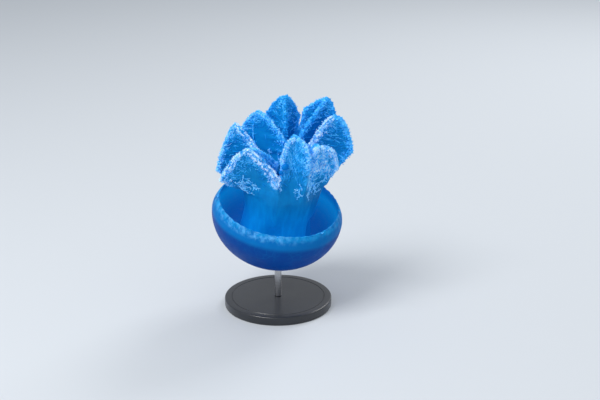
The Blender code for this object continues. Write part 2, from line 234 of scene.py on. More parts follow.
# One row for each arm: bearing in degrees, then reach and height as shares of the bell's radius.
# left, right and inner are the shoulders of its three wings. foot and neck are the bearings of
# the stalk's two sides, base is the stalk's height and bow rounds the arm's outline. moss gives
# the panels' threads: density, reach from the edges in millimetres, their angle from upright
# in degrees, how far they stray from it, and their paleness. Each of twigs is a white branch:
# share of the height, column, angle from straight down in degrees, and length in millimetres.
armRows = [{**usualArm, **row} for row in (
    dict(tip=(-53, 0.745, 1.295), left=(-69, 0.99, 0.66), right=(-8, 0.56, 0.95),
         inner=(-46, 0.18, 0.95), foot=(-62, -5), neck=(-68, -5), base=0.46, bow=0.60,
         jag=0.3, moss=(1.6, 21, 0, 80, 1.1), pale=(1.3, 1.7, 1.0), width=(7, 12, 5),
         twigs=((0.56, 25, 5, 22), (0.44, 21, 15, 17), (0.42, 25, -25, 16), (0.33, 21, 25, 15))),
    dict(tip=(15, 0.31, 1.51), left=(-13, 0.41, 1.18), right=(31, 0.63, 1.24),
         inner=(30, 0.05, 1.08), foot=(-5, 37), neck=(-4, 36), base=0.52, bow=0.28,
         jag=0.2, moss=(1.9, 20, 0, 24, 1.0), pale=(1.1, 1.0, 0.85),
         twigs=((0.32, 17, 25, 9), (0.32, 38, -5, 17)),
         lobes=((0.56, 19.5, 3.9), (0.47, 16.5, 2.4))),
    dict(tip=(46, 0.60, 1.48), left=(36.4, 0.50, 1.28), right=(70, 0.80, 1.08),
         inner=(57, 0.24, 0.86), foot=(37, 80), neck=(37, 78), base=0.52, bow=0.30,
         innerFrill=0.6, jag=0.2, moss=(2.3, 22, 0, 22, 1.6), pale=(1.2, 1.25, 1.0),
         twigs=((0.44, 19, 5, 24), (0.34, 24, 20, 17), (0.34, 38, 40, 24), (0.28, 30, -10, 15))),
    dict(tip=(103, 0.62, 1.70), left=(97, 0.97, 1.16), right=(116, 0.97, 1.26),
         inner=(84, 0.28, 1.20), foot=(80, 121), neck=(80, 119), base=0.56, bow=0.50,
         innerFrill=1.0, jag=0.8, moss=(1.0, 19, 90, 30, 1.15), pale=(0.75, 0.75, 1.35),
         width=(5, 5, 8), twigs=((0.40, 68, 10, 10), (0.40, 52, -10, 10))),
    dict(tip=(137, 0.75, 1.775), left=(125, 0.86, 1.50), right=(162, 0.57, 1.54),
         inner=(147, 0.24, 1.20), foot=(121, 165), neck=(122, 164), base=0.60, bow=0.68,
         frill=0.8, innerFrill=0.9, jag=0.5, moss=(0.7, 13, 80, 35, 1.15), pale=(0.8, 0.8, 0.85),
         downTo=(0.72, 0.25, 0.72), swell=(1, 4, 1)),
    dict(tip=(193, 0.54, 1.725), left=(169, 0.70, 1.34), right=(205, 0.83, 1.30),
         inner=(189, 0.20, 1.08), foot=(165, 209), neck=(167, 208), base=0.56, bow=0.66,
         frill=0.75, innerFrill=0.45, jag=0.45, moss=(0.75, 15, 85, 35, 1.2),
         downTo=(0.25, 0.72, 0.72), swell=(4, 1, 1), pale=(0.75, 0.75, 0.8)),
    dict(tip=(228, 0.66, 1.46), left=(214, 0.88, 1.00), right=(240, 0.88, 0.98),
         inner=(150, 0.03, 1.15), foot=(209, 253), neck=(211, 250), base=0.50, bow=0.62,
         frill=0.9, innerFrill=0.95, jag=0.3, moss=(0.75, 17, 85, 40, 1.25),
         pale=(0.95, 0.9, 0.95), width=(5, 5, 6), seams=((56, 0.36),),
         twigs=((0.46, 66, 15, 11), (0.40, 70, -20, 9), (0.46, 54, 10, 9))),
    dict(tip=(266, 0.81, 1.40), left=(254, 0.96, 0.76), right=(274, 1.00, 0.66),
         inner=(293, 0.36, 1.02), foot=(253, 298), neck=(253, 289), base=0.45, bow=0.72,
         frill=0.95, innerFrill=0.9, jag=0.35, moss=(0.8, 13, 75, 40, 1.4),
         pale=(1.1, 1.0, 1.4), width=(6, 5, 8), twigs=((0.40, 54, 0, 9), (0.40, 66, 10, 9))),
)]

armSettings = {
    "coat": 1.9 * mm,  # how far the skin lies inside the solids' wing edges
    "coatFrom": 0.55,  # where that begins, as a share of the shoulder's height
    "footReach": 0.505, "neckReach": 0.565, "core": 0.13,  # the stalk's corners
    "rootDepth": 0.07,  # how far the stalk starts below the disc's top
    "stalkEdge": 3.0 * mm,  # rounding of the stalk's corners
    "belly": 0.55,  # how far the stalk's outer face rounds out to the disc's own curve
    "edgeHalf": 1.5 * mm,  # half the thickness of a wing's edge
    "wingCore": 0.11,
    "leanBy": 0.3,  # the share of the height over which the arm turns to its own axis
    "tipRadius": 3.2 * mm,
    "tipFrom": 0.91,  # where the edges start to close to the tip
    "tipEven": (0.955, 0.998),  # where they become evenly spread
    "sway": 0.9 * mm, "swayLength": 13 * mm,  # the wings' edges wave from side to side
    "stalkRows": 13, "wingRows": 60,
    "flankColumns": 12, "edgeColumns": 5,
}
edgeStride = 2 * armSettings["flankColumns"] + 1 + armSettings["edgeColumns"]  # columns an edge
edgeMiddle = armSettings["flankColumns"] + 1 + armSettings["edgeColumns"] // 2


# The outline round three edges, for many rows at once. Each edge has a flank that curves in to
# the valley before it, a half circle round the edge, and a flank to the valley after it. A flank
# is start (1-q)^2 + 2 bend q (1-q) + valley q^2, and never passes halfway to the next edge.
def threeWinged(centre, along, edges, half, core, hollow, belly, s):
    spoke = edges - centre[:, None]
    outward = unit(spoke - along[:, None] * np.sum(spoke * along[:, None], -1, keepdims=True))
    side = unit(np.cross(along[:, None], outward))
    reach = np.linalg.norm(spoke, axis=-1)
    q = np.linspace(0, 1, s["flankColumns"] + 1)[None, :, None]
    turn = np.radians(np.linspace(-90, 90, s["edgeColumns"] + 2))[1:-1][None, :, None]
    hollow, core = hollow[:, None], core[:, None]
    outline = []
    for i in range(3):
        flanks, widths = [], []
        for hand, j in ((-1, (i - 1) % 3), (1, (i + 1) % 3)):
            cosine = np.clip(np.sum(outward[:, i] * outward[:, j], -1), -0.999, 1)
            opening = np.sqrt((1 - cosine) / (1 + cosine))
            width = np.minimum(half, np.minimum(0.45, 0.8 * opening) * reach[:, i])[:, None]
            between = outward[:, i] + outward[:, j]
            weak = (np.linalg.norm(between, axis=-1) < 0.1) | (
                np.sum(between * side[:, i], -1) * hand < 0)
            between = unit(np.where(weak[:, None], side[:, i] * hand, between))
            flat = (edges[:, i] + edges[:, j]) / 2
            if (i, j) in ((0, 1), (1, 0)):
                flat = flat + belly
            valley = flat * (1 - hollow) + (centre + between * core) * hollow
            start = edges[:, i] + side[:, i] * hand * width
            swell = np.minimum(1.5 * width, (0.3 * opening * reach[:, i])[:, None])
            curved = centre + (edges[:, i] - centre) * 0.40 + side[:, i] * hand * swell
            bend = (start + valley) / 2 * (1 - hollow) + curved * hollow
            if (i, j) in ((0, 1), (1, 0)):
                bend = bend + belly * 0.7 * (1 - hollow)
            flanks.append(start[:, None] * (1 - q) ** 2 + bend[:, None] * 2 * q * (1 - q)
                          + valley[:, None] * q**2)
            widths.append(width[:, None])
        sideWidth = np.where(turn < 0, widths[0], widths[1])
        cap = (edges[:, i, None] + side[:, i, None] * sideWidth * np.sin(turn)
               + outward[:, i, None] * (widths[0] + widths[1]) * 0.4 * np.cos(turn))
        outline += [flanks[0][:, ::-1], cap, flanks[1][:, :-1]]
    return np.concatenate(outline, axis=1)


# A wing's edge for an array of shares: from stub to shoulder along a power curve, and from there
# to the tip, with the reach to the side falling as the height left to go to the power of bow.
def wingEdge(stub, shoulder, tipPoint, root, axis, share, bow):
    turn = np.clip((shoulder - root) @ axis / ((tipPoint - root) @ axis), 0.12, 0.75)
    rise = (np.clip(share / turn, 0, 1) ** 1.15)[:, None]
    fall = np.clip((1 - share) / (1 - turn), 0, 1)[:, None]
    reach = shoulder - tipPoint
    lift = axis * (reach @ axis)
    upper = tipPoint + lift * fall + (reach - lift) * fall**bow
    return np.where((share < turn)[:, None], stub + (shoulder - stub) * rise, upper), turn


# The corners of an arm's stalk, row by row up to the wings: two outer ones, whose bearings go
# from foot to neck, and an inner one halfway between them.
def stalkCorners(arm, s):
    q = np.linspace(0, 1, s["stalkRows"])
    inset = np.degrees(s["stalkEdge"] / bellRadius / 0.5) * 0.08
    left = arm["foot"][0] + (arm["neck"][0] - arm["foot"][0]) * q + inset
    right = arm["foot"][1] + (arm["neck"][1] - arm["foot"][1]) * q - inset
    reach = s["footReach"] + (s["neckReach"] - s["footReach"]) * q
    low = bellSettings["discTop"] - s["rootDepth"]
    height = low + (arm["base"] - low) * q
    return np.stack([around(left, reach, height), around(right, reach, height),
                     around((left + right) / 2, s["core"] + 0 * q, height)], 1)


# One arm's surface as a closed grid, rows from inside the disc up to the tip, in world metres.
# With it come each row's share of the way up the wings and the shares where the wings turn.
def armGrid(arm, s, seed):
    scale = 1 / bellRadius
    corners = stalkCorners(arm, s)
    stubs = corners[-1]
    root = stubs.mean(0)
    tipPoint = around(*(np.array(x) for x in arm["tip"]))
    axis = unit(tipPoint - root)
    share = 1 - (1 - np.linspace(0, 1, s["wingRows"])) ** 1.25
    shoulders = [around(*(np.array(x) for x in arm[wing])) for wing in ("left", "right", "inner")]
    edges, turns = zip(*[wingEdge(stub, shoulder, tipPoint, root, axis, share, arm["bow"])
                         for stub, shoulder in zip(stubs, shoulders)])
    edges = np.stack(edges, 1)
    centre = root + (tipPoint - root) * share[:, None]
    leanIn = np.clip(share / s["leanBy"], 0, 1)
    along = unit(np.array([0, 0, 1.0]) * (1 - leanIn[:, None]) + axis * leanIn[:, None])
    spoke = edges - centre[:, None]
    spoke -= along[:, None] * np.sum(spoke * along[:, None], -1, keepdims=True)
    length = np.linalg.norm(spoke, axis=-1, keepdims=True)
    # The very end is round, its three corners evenly spread: the inner one turned by thirds.
    inward = unit(shoulders[2] - tipPoint - axis * ((shoulders[2] - tipPoint) @ axis))
    thirds = np.radians([120, 240, 0])[:, None]
    even = inward * np.cos(thirds) + np.cross(axis, inward) * np.sin(thirds)
    settle = smooth(*s["tipEven"], share)[:, None, None]
    outward = unit(unit(spoke) * (1 - settle) + even * settle)
    # The coat's depth comes off the edges, and near the tip they close to a blunt round end.
    closing = ((share - s["tipFrom"]) / (1 - s["tipFrom"])).clip(0, 1)
    blunt = s["tipRadius"] * scale * np.sqrt(1 - 0.95 * closing**2)
    starts = np.array(turns) * s["coatFrom"]
    coat = s["coat"] * scale * smooth(starts, starts + 0.15, share[:, None])[..., None]
    keep = np.maximum((length - coat) * (1 - settle), blunt[:, None, None] + 0.002)
    edges = np.where((share > 0)[:, None, None], centre[:, None] + outward * keep, edges)
    # Sway: each edge moves sideways by sines of the length along the arm, each with its own phase.
    phase = np.random.RandomState(seed).uniform(0, 2 * np.pi, (1, 3))
    travel = share[:, None] * np.linalg.norm(tipPoint - root) * bellRadius
    swing = np.sin(travel / s["swayLength"] * 2 * np.pi + phase) + 0.4 * np.sin(
        travel / s["swayLength"] * 11 + 2 * phase)
    envelope = smooth(0.05, 0.3, share)[:, None] * smooth(1.0, 0.8, share)[:, None]
    envelope = envelope * smooth(0.05, 0.3, length[..., 0])
    side = np.cross(along[:, None], outward)
    edges = edges + side * (swing * envelope * s["sway"] * scale)[..., None]
    # The stalk's rows go under the wings' own.
    edges = np.concatenate([corners[:-1], edges])
    below = np.zeros(len(corners) - 1)
    share = np.concatenate([below, share])
    along = np.concatenate([np.tile([0, 0, 1.0], (len(below), 1)), along])
    centre = np.concatenate([corners[:-1].mean(1), centre])
    leanIn, blunt = np.concatenate([below, leanIn]), np.concatenate([below + blunt[0], blunt])
    half = (s["stalkEdge"] + (s["edgeHalf"] - s["stalkEdge"]) * leanIn) * scale
    core = s["wingCore"] + (0.6 * blunt - s["wingCore"]) * share
    middle = (edges[:, 0] + edges[:, 1]) / 2
    gap = np.linalg.norm(edges[:, 0, :2], axis=-1) - np.linalg.norm(middle[:, :2], axis=-1)
    belly = unit(middle * [1, 1, 0]) * (gap * s["belly"])[:, None]
    points = threeWinged(centre, along, edges, half, core, leanIn, belly, s)
    return toWorld(points * (1 - bellSettings["inset"] / bellRadius)), share, turns


print("bell and arms")
bellPoints, bellRise, bellInside = bellGrid(bellSettings)
armGrids = [armGrid(arm, armSettings, 11 + i) for i, arm in enumerate(armRows)]


skinFields = ("part", "bell", "bowl", "milk", "hollow", "keel")
joinSettings = {
    "rings": 7,  # how many edges from a seam the flesh is smoothed
    "passes": 22,
    "pull": 0.6,  # the most a point moves toward its neighbours' mean in one pass
}


# One closed shell from a grid, its ends closed by a point each. Fields are grids of numbers, or
# one number, and ends gives their values at the two closing points. Where unsaid, both are 0.
def shell(name, grid, fields=None, ends=None):
    poles = np.stack([grid[0].mean(0), grid[-1].mean(0)])
    flat = {}
    for field in skinFields if fields else ():
        values = np.broadcast_to(fields.get(field, 0.0), grid.shape[:2])
        flat[field] = np.append(values, ends.get(field, (0, 0)))
    return meshObject(name, np.concatenate([grid.reshape(-1, 3), poles]),
                      gridQuads(*grid.shape[:2]), gridFans(*grid.shape[:2]), flat)


# Smooths the joined flesh round each seam: every point near a change of part moves toward the
# mean of its neighbours, less the further it is from the seam.
def softenSeams(mesh, s):
    count = len(mesh.vertices)
    place, part, ends = np.empty(count * 3), np.empty(count), np.empty(len(mesh.edges) * 2, int)
    mesh.vertices.foreach_get("co", place)
    mesh.attributes["part"].data.foreach_get("value", part)
    mesh.edges.foreach_get("vertices", ends)
    place, (a, b) = place.reshape(-1, 3), ends.reshape(-1, 2).T
    near = np.zeros(count)
    seam = np.abs(part[a] - part[b]) > 0.01
    near[a[seam]] = near[b[seam]] = 1
    for _ in range(s["rings"]):
        spread = near.copy()
        np.maximum.at(spread, a, near[b] - 1 / s["rings"])
        np.maximum.at(spread, b, near[a] - 1 / s["rings"])
        near = spread
    near = smooth(0, 0.8, near)[:, None] * s["pull"]
    neighbours = np.bincount(a, minlength=count) + np.bincount(b, minlength=count)
    for _ in range(s["passes"]):
        total = np.stack([np.bincount(a, place[b, k], count) + np.bincount(b, place[a, k], count)
                          for k in range(3)], 1)
        place = place + (total / neighbours[:, None] - place) * near
    mesh.vertices.foreach_set("co", place.astype(np.float32).ravel())
    mesh.update()


# Takes out fins: faces that hang on the closed surface by one edge, their other edges open.
def trimFins(mesh):
    edge = np.empty(len(mesh.loops), int)
    mesh.loops.foreach_get("edge_index", edge)
    alone = np.bincount(edge, minlength=len(mesh.edges))[edge] == 1
    fins = np.flatnonzero(alone.reshape(-1, 3).sum(1) > 1)
    work = bmesh.new()
    work.from_mesh(mesh)
    work.faces.ensure_lookup_table()
    bmesh.ops.delete(work, geom=[work.faces[i] for i in fins], context="FACES")
    work.to_mesh(mesh)
    work.free()


# How much of the coat's colour the skin takes round its roots. At each edge it is paleness x
# exp(-(gap / width)^4), and over the upper arm it grows with the threads' density past 1.5.
def coatShade(arm, grid, share):
    edges = grid[:, edgeMiddle::edgeStride]
    gap = np.linalg.norm(grid[:, :, None] - edges[:, None], axis=-1)
    width = np.array(arm["width"]) * mm
    band = (np.array(arm["pale"]) * np.exp(-((gap / width) ** 4))).max(-1)
    full = 1.5 * (arm["moss"][0] - 1.5) * smooth(0.25, 0.7, share)[:, None]
    return np.maximum(band * smooth(0.15, 0.4, share)[:, None], full.clip(0, 1.2))


# The skin: bell and arms joined into one closed surface. Its fields number the parts, and say
# what is bell or lower bowl, how milky the rim is, what is inside the bell, and the coat's shade.
def makeSkin():
    inner = bellPoints[1:-1] * (1 - bellSettings["inset"] / bellRadius)
    rise, inside = bellRise[1:-1], bellInside[1:-1]
    outer = inside < 1.5
    fields = {"bell": 1.0 * outer, "milk": smooth(0.0, 1.0, rise) * outer,
              "bowl": np.where(inside < 1, 1 - smooth(-0.05, 0.035, inner[..., 2]), 0),
              "hollow": smooth(0.4, 1.0, inside) * outer * (1 - 0.8 * rise)}
    skin = shell("skin", toWorld(inner), fields, {"bell": (1, 0), "bowl": (1, 0)})
    arms = []
    for number, (arm, (grid, share, _)) in enumerate(zip(armRows, armGrids), 1):
        arms.append(shell("arm", grid, {"part": number, "keel": coatShade(arm, grid, share)},
                          {"part": (number, number), "keel": (0, 1)}))
        join = skin.modifiers.new("join", "BOOLEAN")
        join.operation, join.solver, join.object = "UNION", "MANIFOLD", arms[-1]
    skin.modifiers.new("facets", "TRIANGULATE")
    seen = skin.evaluated_get(bpy.context.evaluated_depsgraph_get())
    joined = bpy.data.meshes.new_from_object(seen)
    joined.name = "skin"
    for arm in arms:
        bpy.data.objects.remove(arm)
    skin.modifiers.clear()
    skin.data = joined
    joined.materials.clear()
    trimFins(joined)
    softenSeams(joined, joinSettings)
    joined.shade_smooth()
    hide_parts(*[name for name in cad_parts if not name.startswith("stand_")])
    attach(skin, "root")
    return skin


skin = makeSkin()
print("skin", len(skin.data.polygons), "faces")


# Reads a closed grid at fractional rows and columns: the mean of the four points round each
# place, weighted by nearness.
def readGrid(grid, row, column):
    rows, columns = grid.shape[:2]
    row = np.clip(row, 0, rows - 1.0001)
    r, c = np.floor(row).astype(int), np.floor(column).astype(int)
    fr, fc = (row - r)[..., None], (column - c)[..., None]
    a, b = c % columns, (c + 1) % columns
    low = grid[r, a] * (1 - fc) + grid[r, b] * fc
    return low * (1 - fr) + (grid[r + 1, a] * (1 - fc) + grid[r + 1, b] * fc) * fr


# The surface's slopes up the rows and along the columns, and its outward normal.
def slopes(grid, row, column):
    up = readGrid(grid, row + 0.5, column) - readGrid(grid, row - 0.5, column)
    across = readGrid(grid, row, column + 0.5) - readGrid(grid, row, column - 0.5)
    return up, across, unit(np.cross(across, up))


# Length travelled along a line of points, from 0 at its first.
def lengthAlong(line):
    return np.append(0, np.cumsum(np.linalg.norm(np.diff(line, axis=0), axis=1)))


# Walks over a surface from many places at once. Each step turns the heading into the surface and
# finds the row and column change that goes that way, by least squares on the two slopes. wander
# turns the heading by that much at each step.
def walk(grid, row, column, heading, step, steps, wander=None):
    rows, columns, places, normals = [], [], [], []
    for k in range(steps):
        up, across, normal = slopes(grid, row, column)
        rows.append(row)
        columns.append(column)
        places.append(readGrid(grid, row, column))
        normals.append(normal)
        if wander is not None:
            heading = heading + np.cross(normal, heading) * wander[:, k, None]
        heading = unit(heading - normal * np.sum(heading * normal, -1, keepdims=True))
        uu, ua, aa = (np.sum(x * y, -1) for x, y in ((up, up), (up, across), (across, across)))
        hu, ha = np.sum(heading * up, -1), np.sum(heading * across, -1)
        size = np.maximum(uu * aa - ua**2, 1e-14)
        row = row + np.clip(step * (hu * aa - ha * ua) / size, -1.5, 1.5)
        column = column + np.clip(step * (ha * uu - hu * ua) / size, -2.5, 2.5)
    return [np.stack(track, 1) for track in (rows, columns, places, normals)]


# Closed tubes along many paths at once: round each step stand `sides` points, radius x (side cos
# + up sin) from it, and a pole closes each end, as far out as capOut says.
def tubes(paths, normals, radii, sides, capOut=(0.6, 0.6)):
    ahead = unit(np.gradient(paths, axis=1))
    side = unit(np.cross(normals, ahead))
    up = np.cross(ahead, side)
    turn = 2 * np.pi * np.arange(sides) / sides
    ring = side[:, :, None] * np.cos(turn)[:, None] + up[:, :, None] * np.sin(turn)[:, None]
    radii = radii if radii.ndim == 3 else np.repeat(radii[:, :, None], sides, 2)
    points = paths[:, :, None] + ring * radii[..., None]
    poles = np.stack([paths[:, 0] - ahead[:, 0] * radii[:, 0].mean(-1)[:, None] * capOut[0],
                      paths[:, -1] + ahead[:, -1] * radii[:, -1].mean(-1)[:, None] * capOut[1]], 1)
    return np.concatenate([points.reshape(len(paths), -1, 3), poles], 1)


coatSettings = {
    "ridgeSpacing": 2.5 * mm,  # between the ridges that cross a wing's edge
    "ridgeRadius": 0.52 * mm,
    "ridgeSteps": 12,
    "beadLength": 2.6 * mm,  # of the swellings along a ridge
    "lumpSpacing": 1.65 * mm,
    "lumpRadius": 1.15 * mm,
    "lumpRows": (0, 1.7 * mm, 3.4 * mm),  # how far in from the edge's middle each row lies
    "jagSpacing": 3.3 * mm,  # between the larger bumps of an uneven edge
    "budRadius": 0.62 * mm,
    "fingerLength": 1.25 * mm,
    "fingerRadius": 0.30 * mm,
    "fingersPerLump": 3,
    "threadsTried": 2500,  # on each arm, of which a third to a half stay
    "threadRadius": 0.50 * mm,
    "threadLength": (2.8, 6.5),  # millimetres
    "threadShape": (0.6, 1, 0.8, 1, 0.85, 0.5),  # radii along a thread
    "stemRadius": 0.76 * mm,
    # Stem, twigs and sprigs: steps, the steps that fork, the forks' length, and straying.
    "branching": ((14, (2, 5, 7, 9, 12), 0.36, 0.19), (7, (2, 4), 0.55, 0.28), (5, (), 1, 0.3)),
    "seamRadius": 0.85 * mm,
    "patch": 0.003,  # a tuft's place on the baking map
    "smallest": 0.01 * mm,  # a tuft with rings smaller or closer than this is left out
}


# One arm's coat: the arm's surface as a grid, what its row says, and the tufts made so far.
class Coat:
    def __init__(self, grid, seed, arm=None, share=None, turns=None):
        self.grid, self.arm, self.share, self.turns = grid, arm, share, turns
        self.rng = np.random.RandomState(seed)
        self.points, self.quads, self.fans, self.tones, self.uvs = [], [], [], [], []
        self.start = 0

    # Takes tufts with roots at given rows and columns. tone runs from 0 at a root to 1 at a pale
    # tip, and on to 1.8 where the tissue is lilac white. The map puts each tuft's small patch at
    # its root's place on the arm's own unwrap, which is its columns and rows as fractions.
    def add(self, points, steps, sides, tone, row, column):
        rings = points[:, :-2].reshape(len(points), steps, sides, 3)
        middles = rings.mean(2)
        wide = np.linalg.norm(rings - middles[:, :, None], axis=-1).mean(-1).min(1)
        apart = np.linalg.norm(np.diff(middles, axis=1), axis=-1).min(1)
        sound = (wide > coatSettings["smallest"]) & (apart > coatSettings["smallest"])
        rows, columns = self.grid.shape[:2]
        roots = np.stack([column % columns / columns, row / rows], -1)[sound]
        points, tone = points[sound], tone[sound]
        count, each = points.shape[:2]
        offset = (np.arange(count) * each + self.start)[:, None, None]
        self.quads.append((gridQuads(steps, sides)[None] + offset).reshape(-1, 4))
        self.fans.append((gridFans(steps, sides)[None] + offset).reshape(-1, 3))
        self.points.append(points.reshape(-1, 3))
        body = np.repeat(tone, sides, 1)
        self.tones.append(np.concatenate([body, tone[:, :1], tone[:, -1:]], 1).ravel())
        s, k = np.meshgrid(np.arange(sides) / sides - 0.5, np.arange(steps) / steps - 0.5)
        spots = np.concatenate([np.stack([s.ravel(), k.ravel()], 1), [[0, -0.5], [0, 0.5]]])
        places = roots[:, None] * 0.99 + 0.005 + spots * coatSettings["patch"]
        self.uvs.append(places.reshape(-1, 2))
        self.start += count * each

    # One mesh of all the tufts, riding on the body.
    def write(self, name):
        made = meshObject(name, *(np.concatenate(x) for x in (self.points, self.quads, self.fans)),
                          {"tone": np.concatenate(self.tones)}, np.concatenate(self.uvs))
        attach(made, "root")
        print(name, sum(len(q) for q in self.quads) * 2 + sum(len(f) for f in self.fans))
        return made

    # The grid's row at a share of the way up the wings.
    def rowAt(self, level):
        return np.interp(level, self.share, np.arange(len(self.share)))

    # The share of the way up at a row.
    def levelAt(self, row):
        return np.interp(row, np.arange(len(self.share)), self.share)

    # Places along the arm's edges: for each edge, spots spaced evenly by length from just under
    # the shoulder to the tip. It gives row, column, the frill's strength there, and the length.
    def edgePlaces(self, spacing):
        found = []
        for i in range(3):
            column = edgeMiddle + i * edgeStride
            travelled = lengthAlong(self.grid[:, column])
            low = self.turns[i] * self.arm["downTo"][i]
            first = np.interp(low, self.share, travelled)
            stops = np.arange(first, travelled[-1] - 0.3 * spacing, spacing)
            stops = stops + self.rng.uniform(-0.22, 0.22, len(stops)) * spacing
            row = np.interp(stops, travelled, np.arange(len(travelled)))
            level = np.interp(stops, travelled, self.share)
            strength = smooth(low - 0.05, self.turns[i] * 1.02, level)
            found.append(np.stack([row, row * 0 + column, strength, stops], 1))
        return np.concatenate(found).T

    # How full the frill is at each edge place: the arm's fullness, and less on the inner wing.
    def fullness(self, column):
        return self.arm["frill"] * np.where(column > 2 * edgeStride, self.arm["innerFrill"], 1.0)

    # What the arm says of each edge, read at places on the edges.
    def edgeValue(self, key, column):
        edge = ((column - edgeMiddle) / edgeStride).round().astype(int)
        return np.array(self.arm[key])[edge]

    # The heading from each edge place over the flank on one hand, square to the edge.
    def inwardHeading(self, row, column, hand):
        across = slopes(self.grid, row, column)[1]
        edgeWay = unit(readGrid(self.grid, row + 1, column) - readGrid(self.grid, row - 1, column))
        return unit(across - edgeWay * np.sum(across * edgeWay, -1, keepdims=True)) * hand

    # Round lumps with an uneven surface: rings of radius x sqrt(1 - x^2) along an axis, each
    # point's radius varied by 1 + roughness x a product of sines with its own phases.
    def addLumps(self, places, normals, radius, row, column, tone, rings=5, sides=8, roughness=0.17):
        x = np.linspace(-0.86, 0.86, rings)
        helper = unit(np.cross(normals, self.rng.normal(size=normals.shape)))
        paths = places[:, None] + normals[:, None] * (x[None, :, None] * radius[:, None, None])
        turn = (np.arange(sides) / sides * 2 * np.pi)[None, None]
        phase = self.rng.uniform(0, 2 * np.pi, (len(places), 3, 1, 1))
        level = x[None, :, None]
        bump = 1 + roughness * np.sin(3 * turn + phase[:, 0] + 2.2 * level) * np.sin(
            2 * turn + phase[:, 1]) + roughness * 0.8 * np.sin(turn + phase[:, 2] + 3 * level)
        radii = radius[:, None, None] * np.sqrt(1 - x**2)[None, :, None] * bump
        points = tubes(paths, np.repeat(helper[:, None], rings, 1), radii, sides, (0.25, 0.25))
        # Each lump is paler toward its outer end and darker toward the skin: partly the tissue's
        # azure roots, partly painted shade in the crevices between lumps.
        rootToneAndShade = (0.55 + 0.45 * smooth(-0.9, 0.6, x))[None] * tone[:, None]
        self.add(points, rings, sides, rootToneAndShade, row, column)

    # Small blunt fingers: three rings from a root along an axis that bends to one side, and a tip.
    def addFingers(self, places, ways, length, radius, row, column, tone, sides=5):
        helper = unit(np.cross(ways, self.rng.normal(size=ways.shape)))
        t = np.array([-0.25, 0.35, 0.85])[None, :, None]
        reach = t * length[:, None, None]
        paths = places[:, None] + ways[:, None] * reach + helper[:, None] * reach * t * 0.3
        radii = radius[:, None] * np.array([1.0, 0.95, 0.72])[None]
        points = tubes(paths, np.repeat(helper[:, None], 3, 1), radii, sides, (0.3, 0.7))
        tones = np.array([0.55, 0.85, 1.0])[None] * tone[:, None]
        self.add(points, 3, sides, tones, row, column)

    # Lumps in rows beside the edges' middles, with fingers standing on them. The outer rows,
    # within 3 mm of the middle, are the larger ones.
    def addFrill(self, s):
        for away in s["lumpRows"]:
            for hand in ((1,) if away == 0 else (-1, 1)):
                self.addLumpRow(s, away, hand, away < 3 * mm)

    # One row of lumps, each walked in from its edge place by away x the arm's own width. Size and
    # paleness grow with the frill's strength and fullness.
    def addLumpRow(self, s, away, hand, outer):
        uniform = self.rng.uniform
        row, column, strength, travelled = self.edgePlaces(s["lumpSpacing"])
        full = self.fullness(column)
        keep = uniform(size=len(row)) < (1 if outer else 0.75) * (0.35 + 0.65 * full)
        row, column, strength, travelled, full = (
            x[keep] for x in (row, column, strength, travelled, full))
        count = len(row)
        swell = 1 + (self.edgeValue("swell", column) - 1) * (1 - strength)
        pale = self.edgeValue("pale", column)
        heading = self.inwardHeading(row, column, hand)
        step = away / 4 * self.edgeValue("width", column) / 5 * uniform(0.55, 1.4, count)
        row, column, place, normal = (x[:, -1] for x in walk(self.grid, row, column, heading,
                                                             step, 5))
        # The edge's larger bumps are a sine of the length, itself swayed by a slower one.
        jag = self.arm["jag"] * np.sin(travelled / s["jagSpacing"] * 2 * np.pi
                                       + 2 * np.sin(travelled / (11 * mm)))
        jag = jag * smooth(1.0, 0.9, self.levelAt(row))
        size = (0.45 + 0.55 * strength) * (0.72 + 0.28 * full) * (1 if outer else 0.82) * swell
        radius = s["lumpRadius"] * size * (1 + 0.6 * jag) * uniform(0.8, 1.15, count)
        tone = (0.7 + 0.3 * strength) * (0.5 + 0.5 * full) * uniform(1.0, 1.45, count)
        tone = pale * tone * (1.0 if away == 0 else 0.95 if outer else 0.85)
        middle = place + normal * radius[:, None] * 0.2
        self.addLumps(middle, normal, radius, row, column, tone)
        for _ in range(s["fingersPerLump"] if outer else 2):
            way = unit(normal + 0.9 * unit(self.rng.normal(size=normal.shape)))
            self.addFingers(
                middle + way * radius[:, None] * 0.8, way,
                s["fingerLength"] * uniform(0.5, 1.1, count) * (1 + 1.6 * np.maximum(jag, 0)),
                s["fingerRadius"] * uniform(0.8, 1.2, count),
                row + uniform(-0.4, 0.4, count), column + uniform(-0.4, 0.4, count), tone)

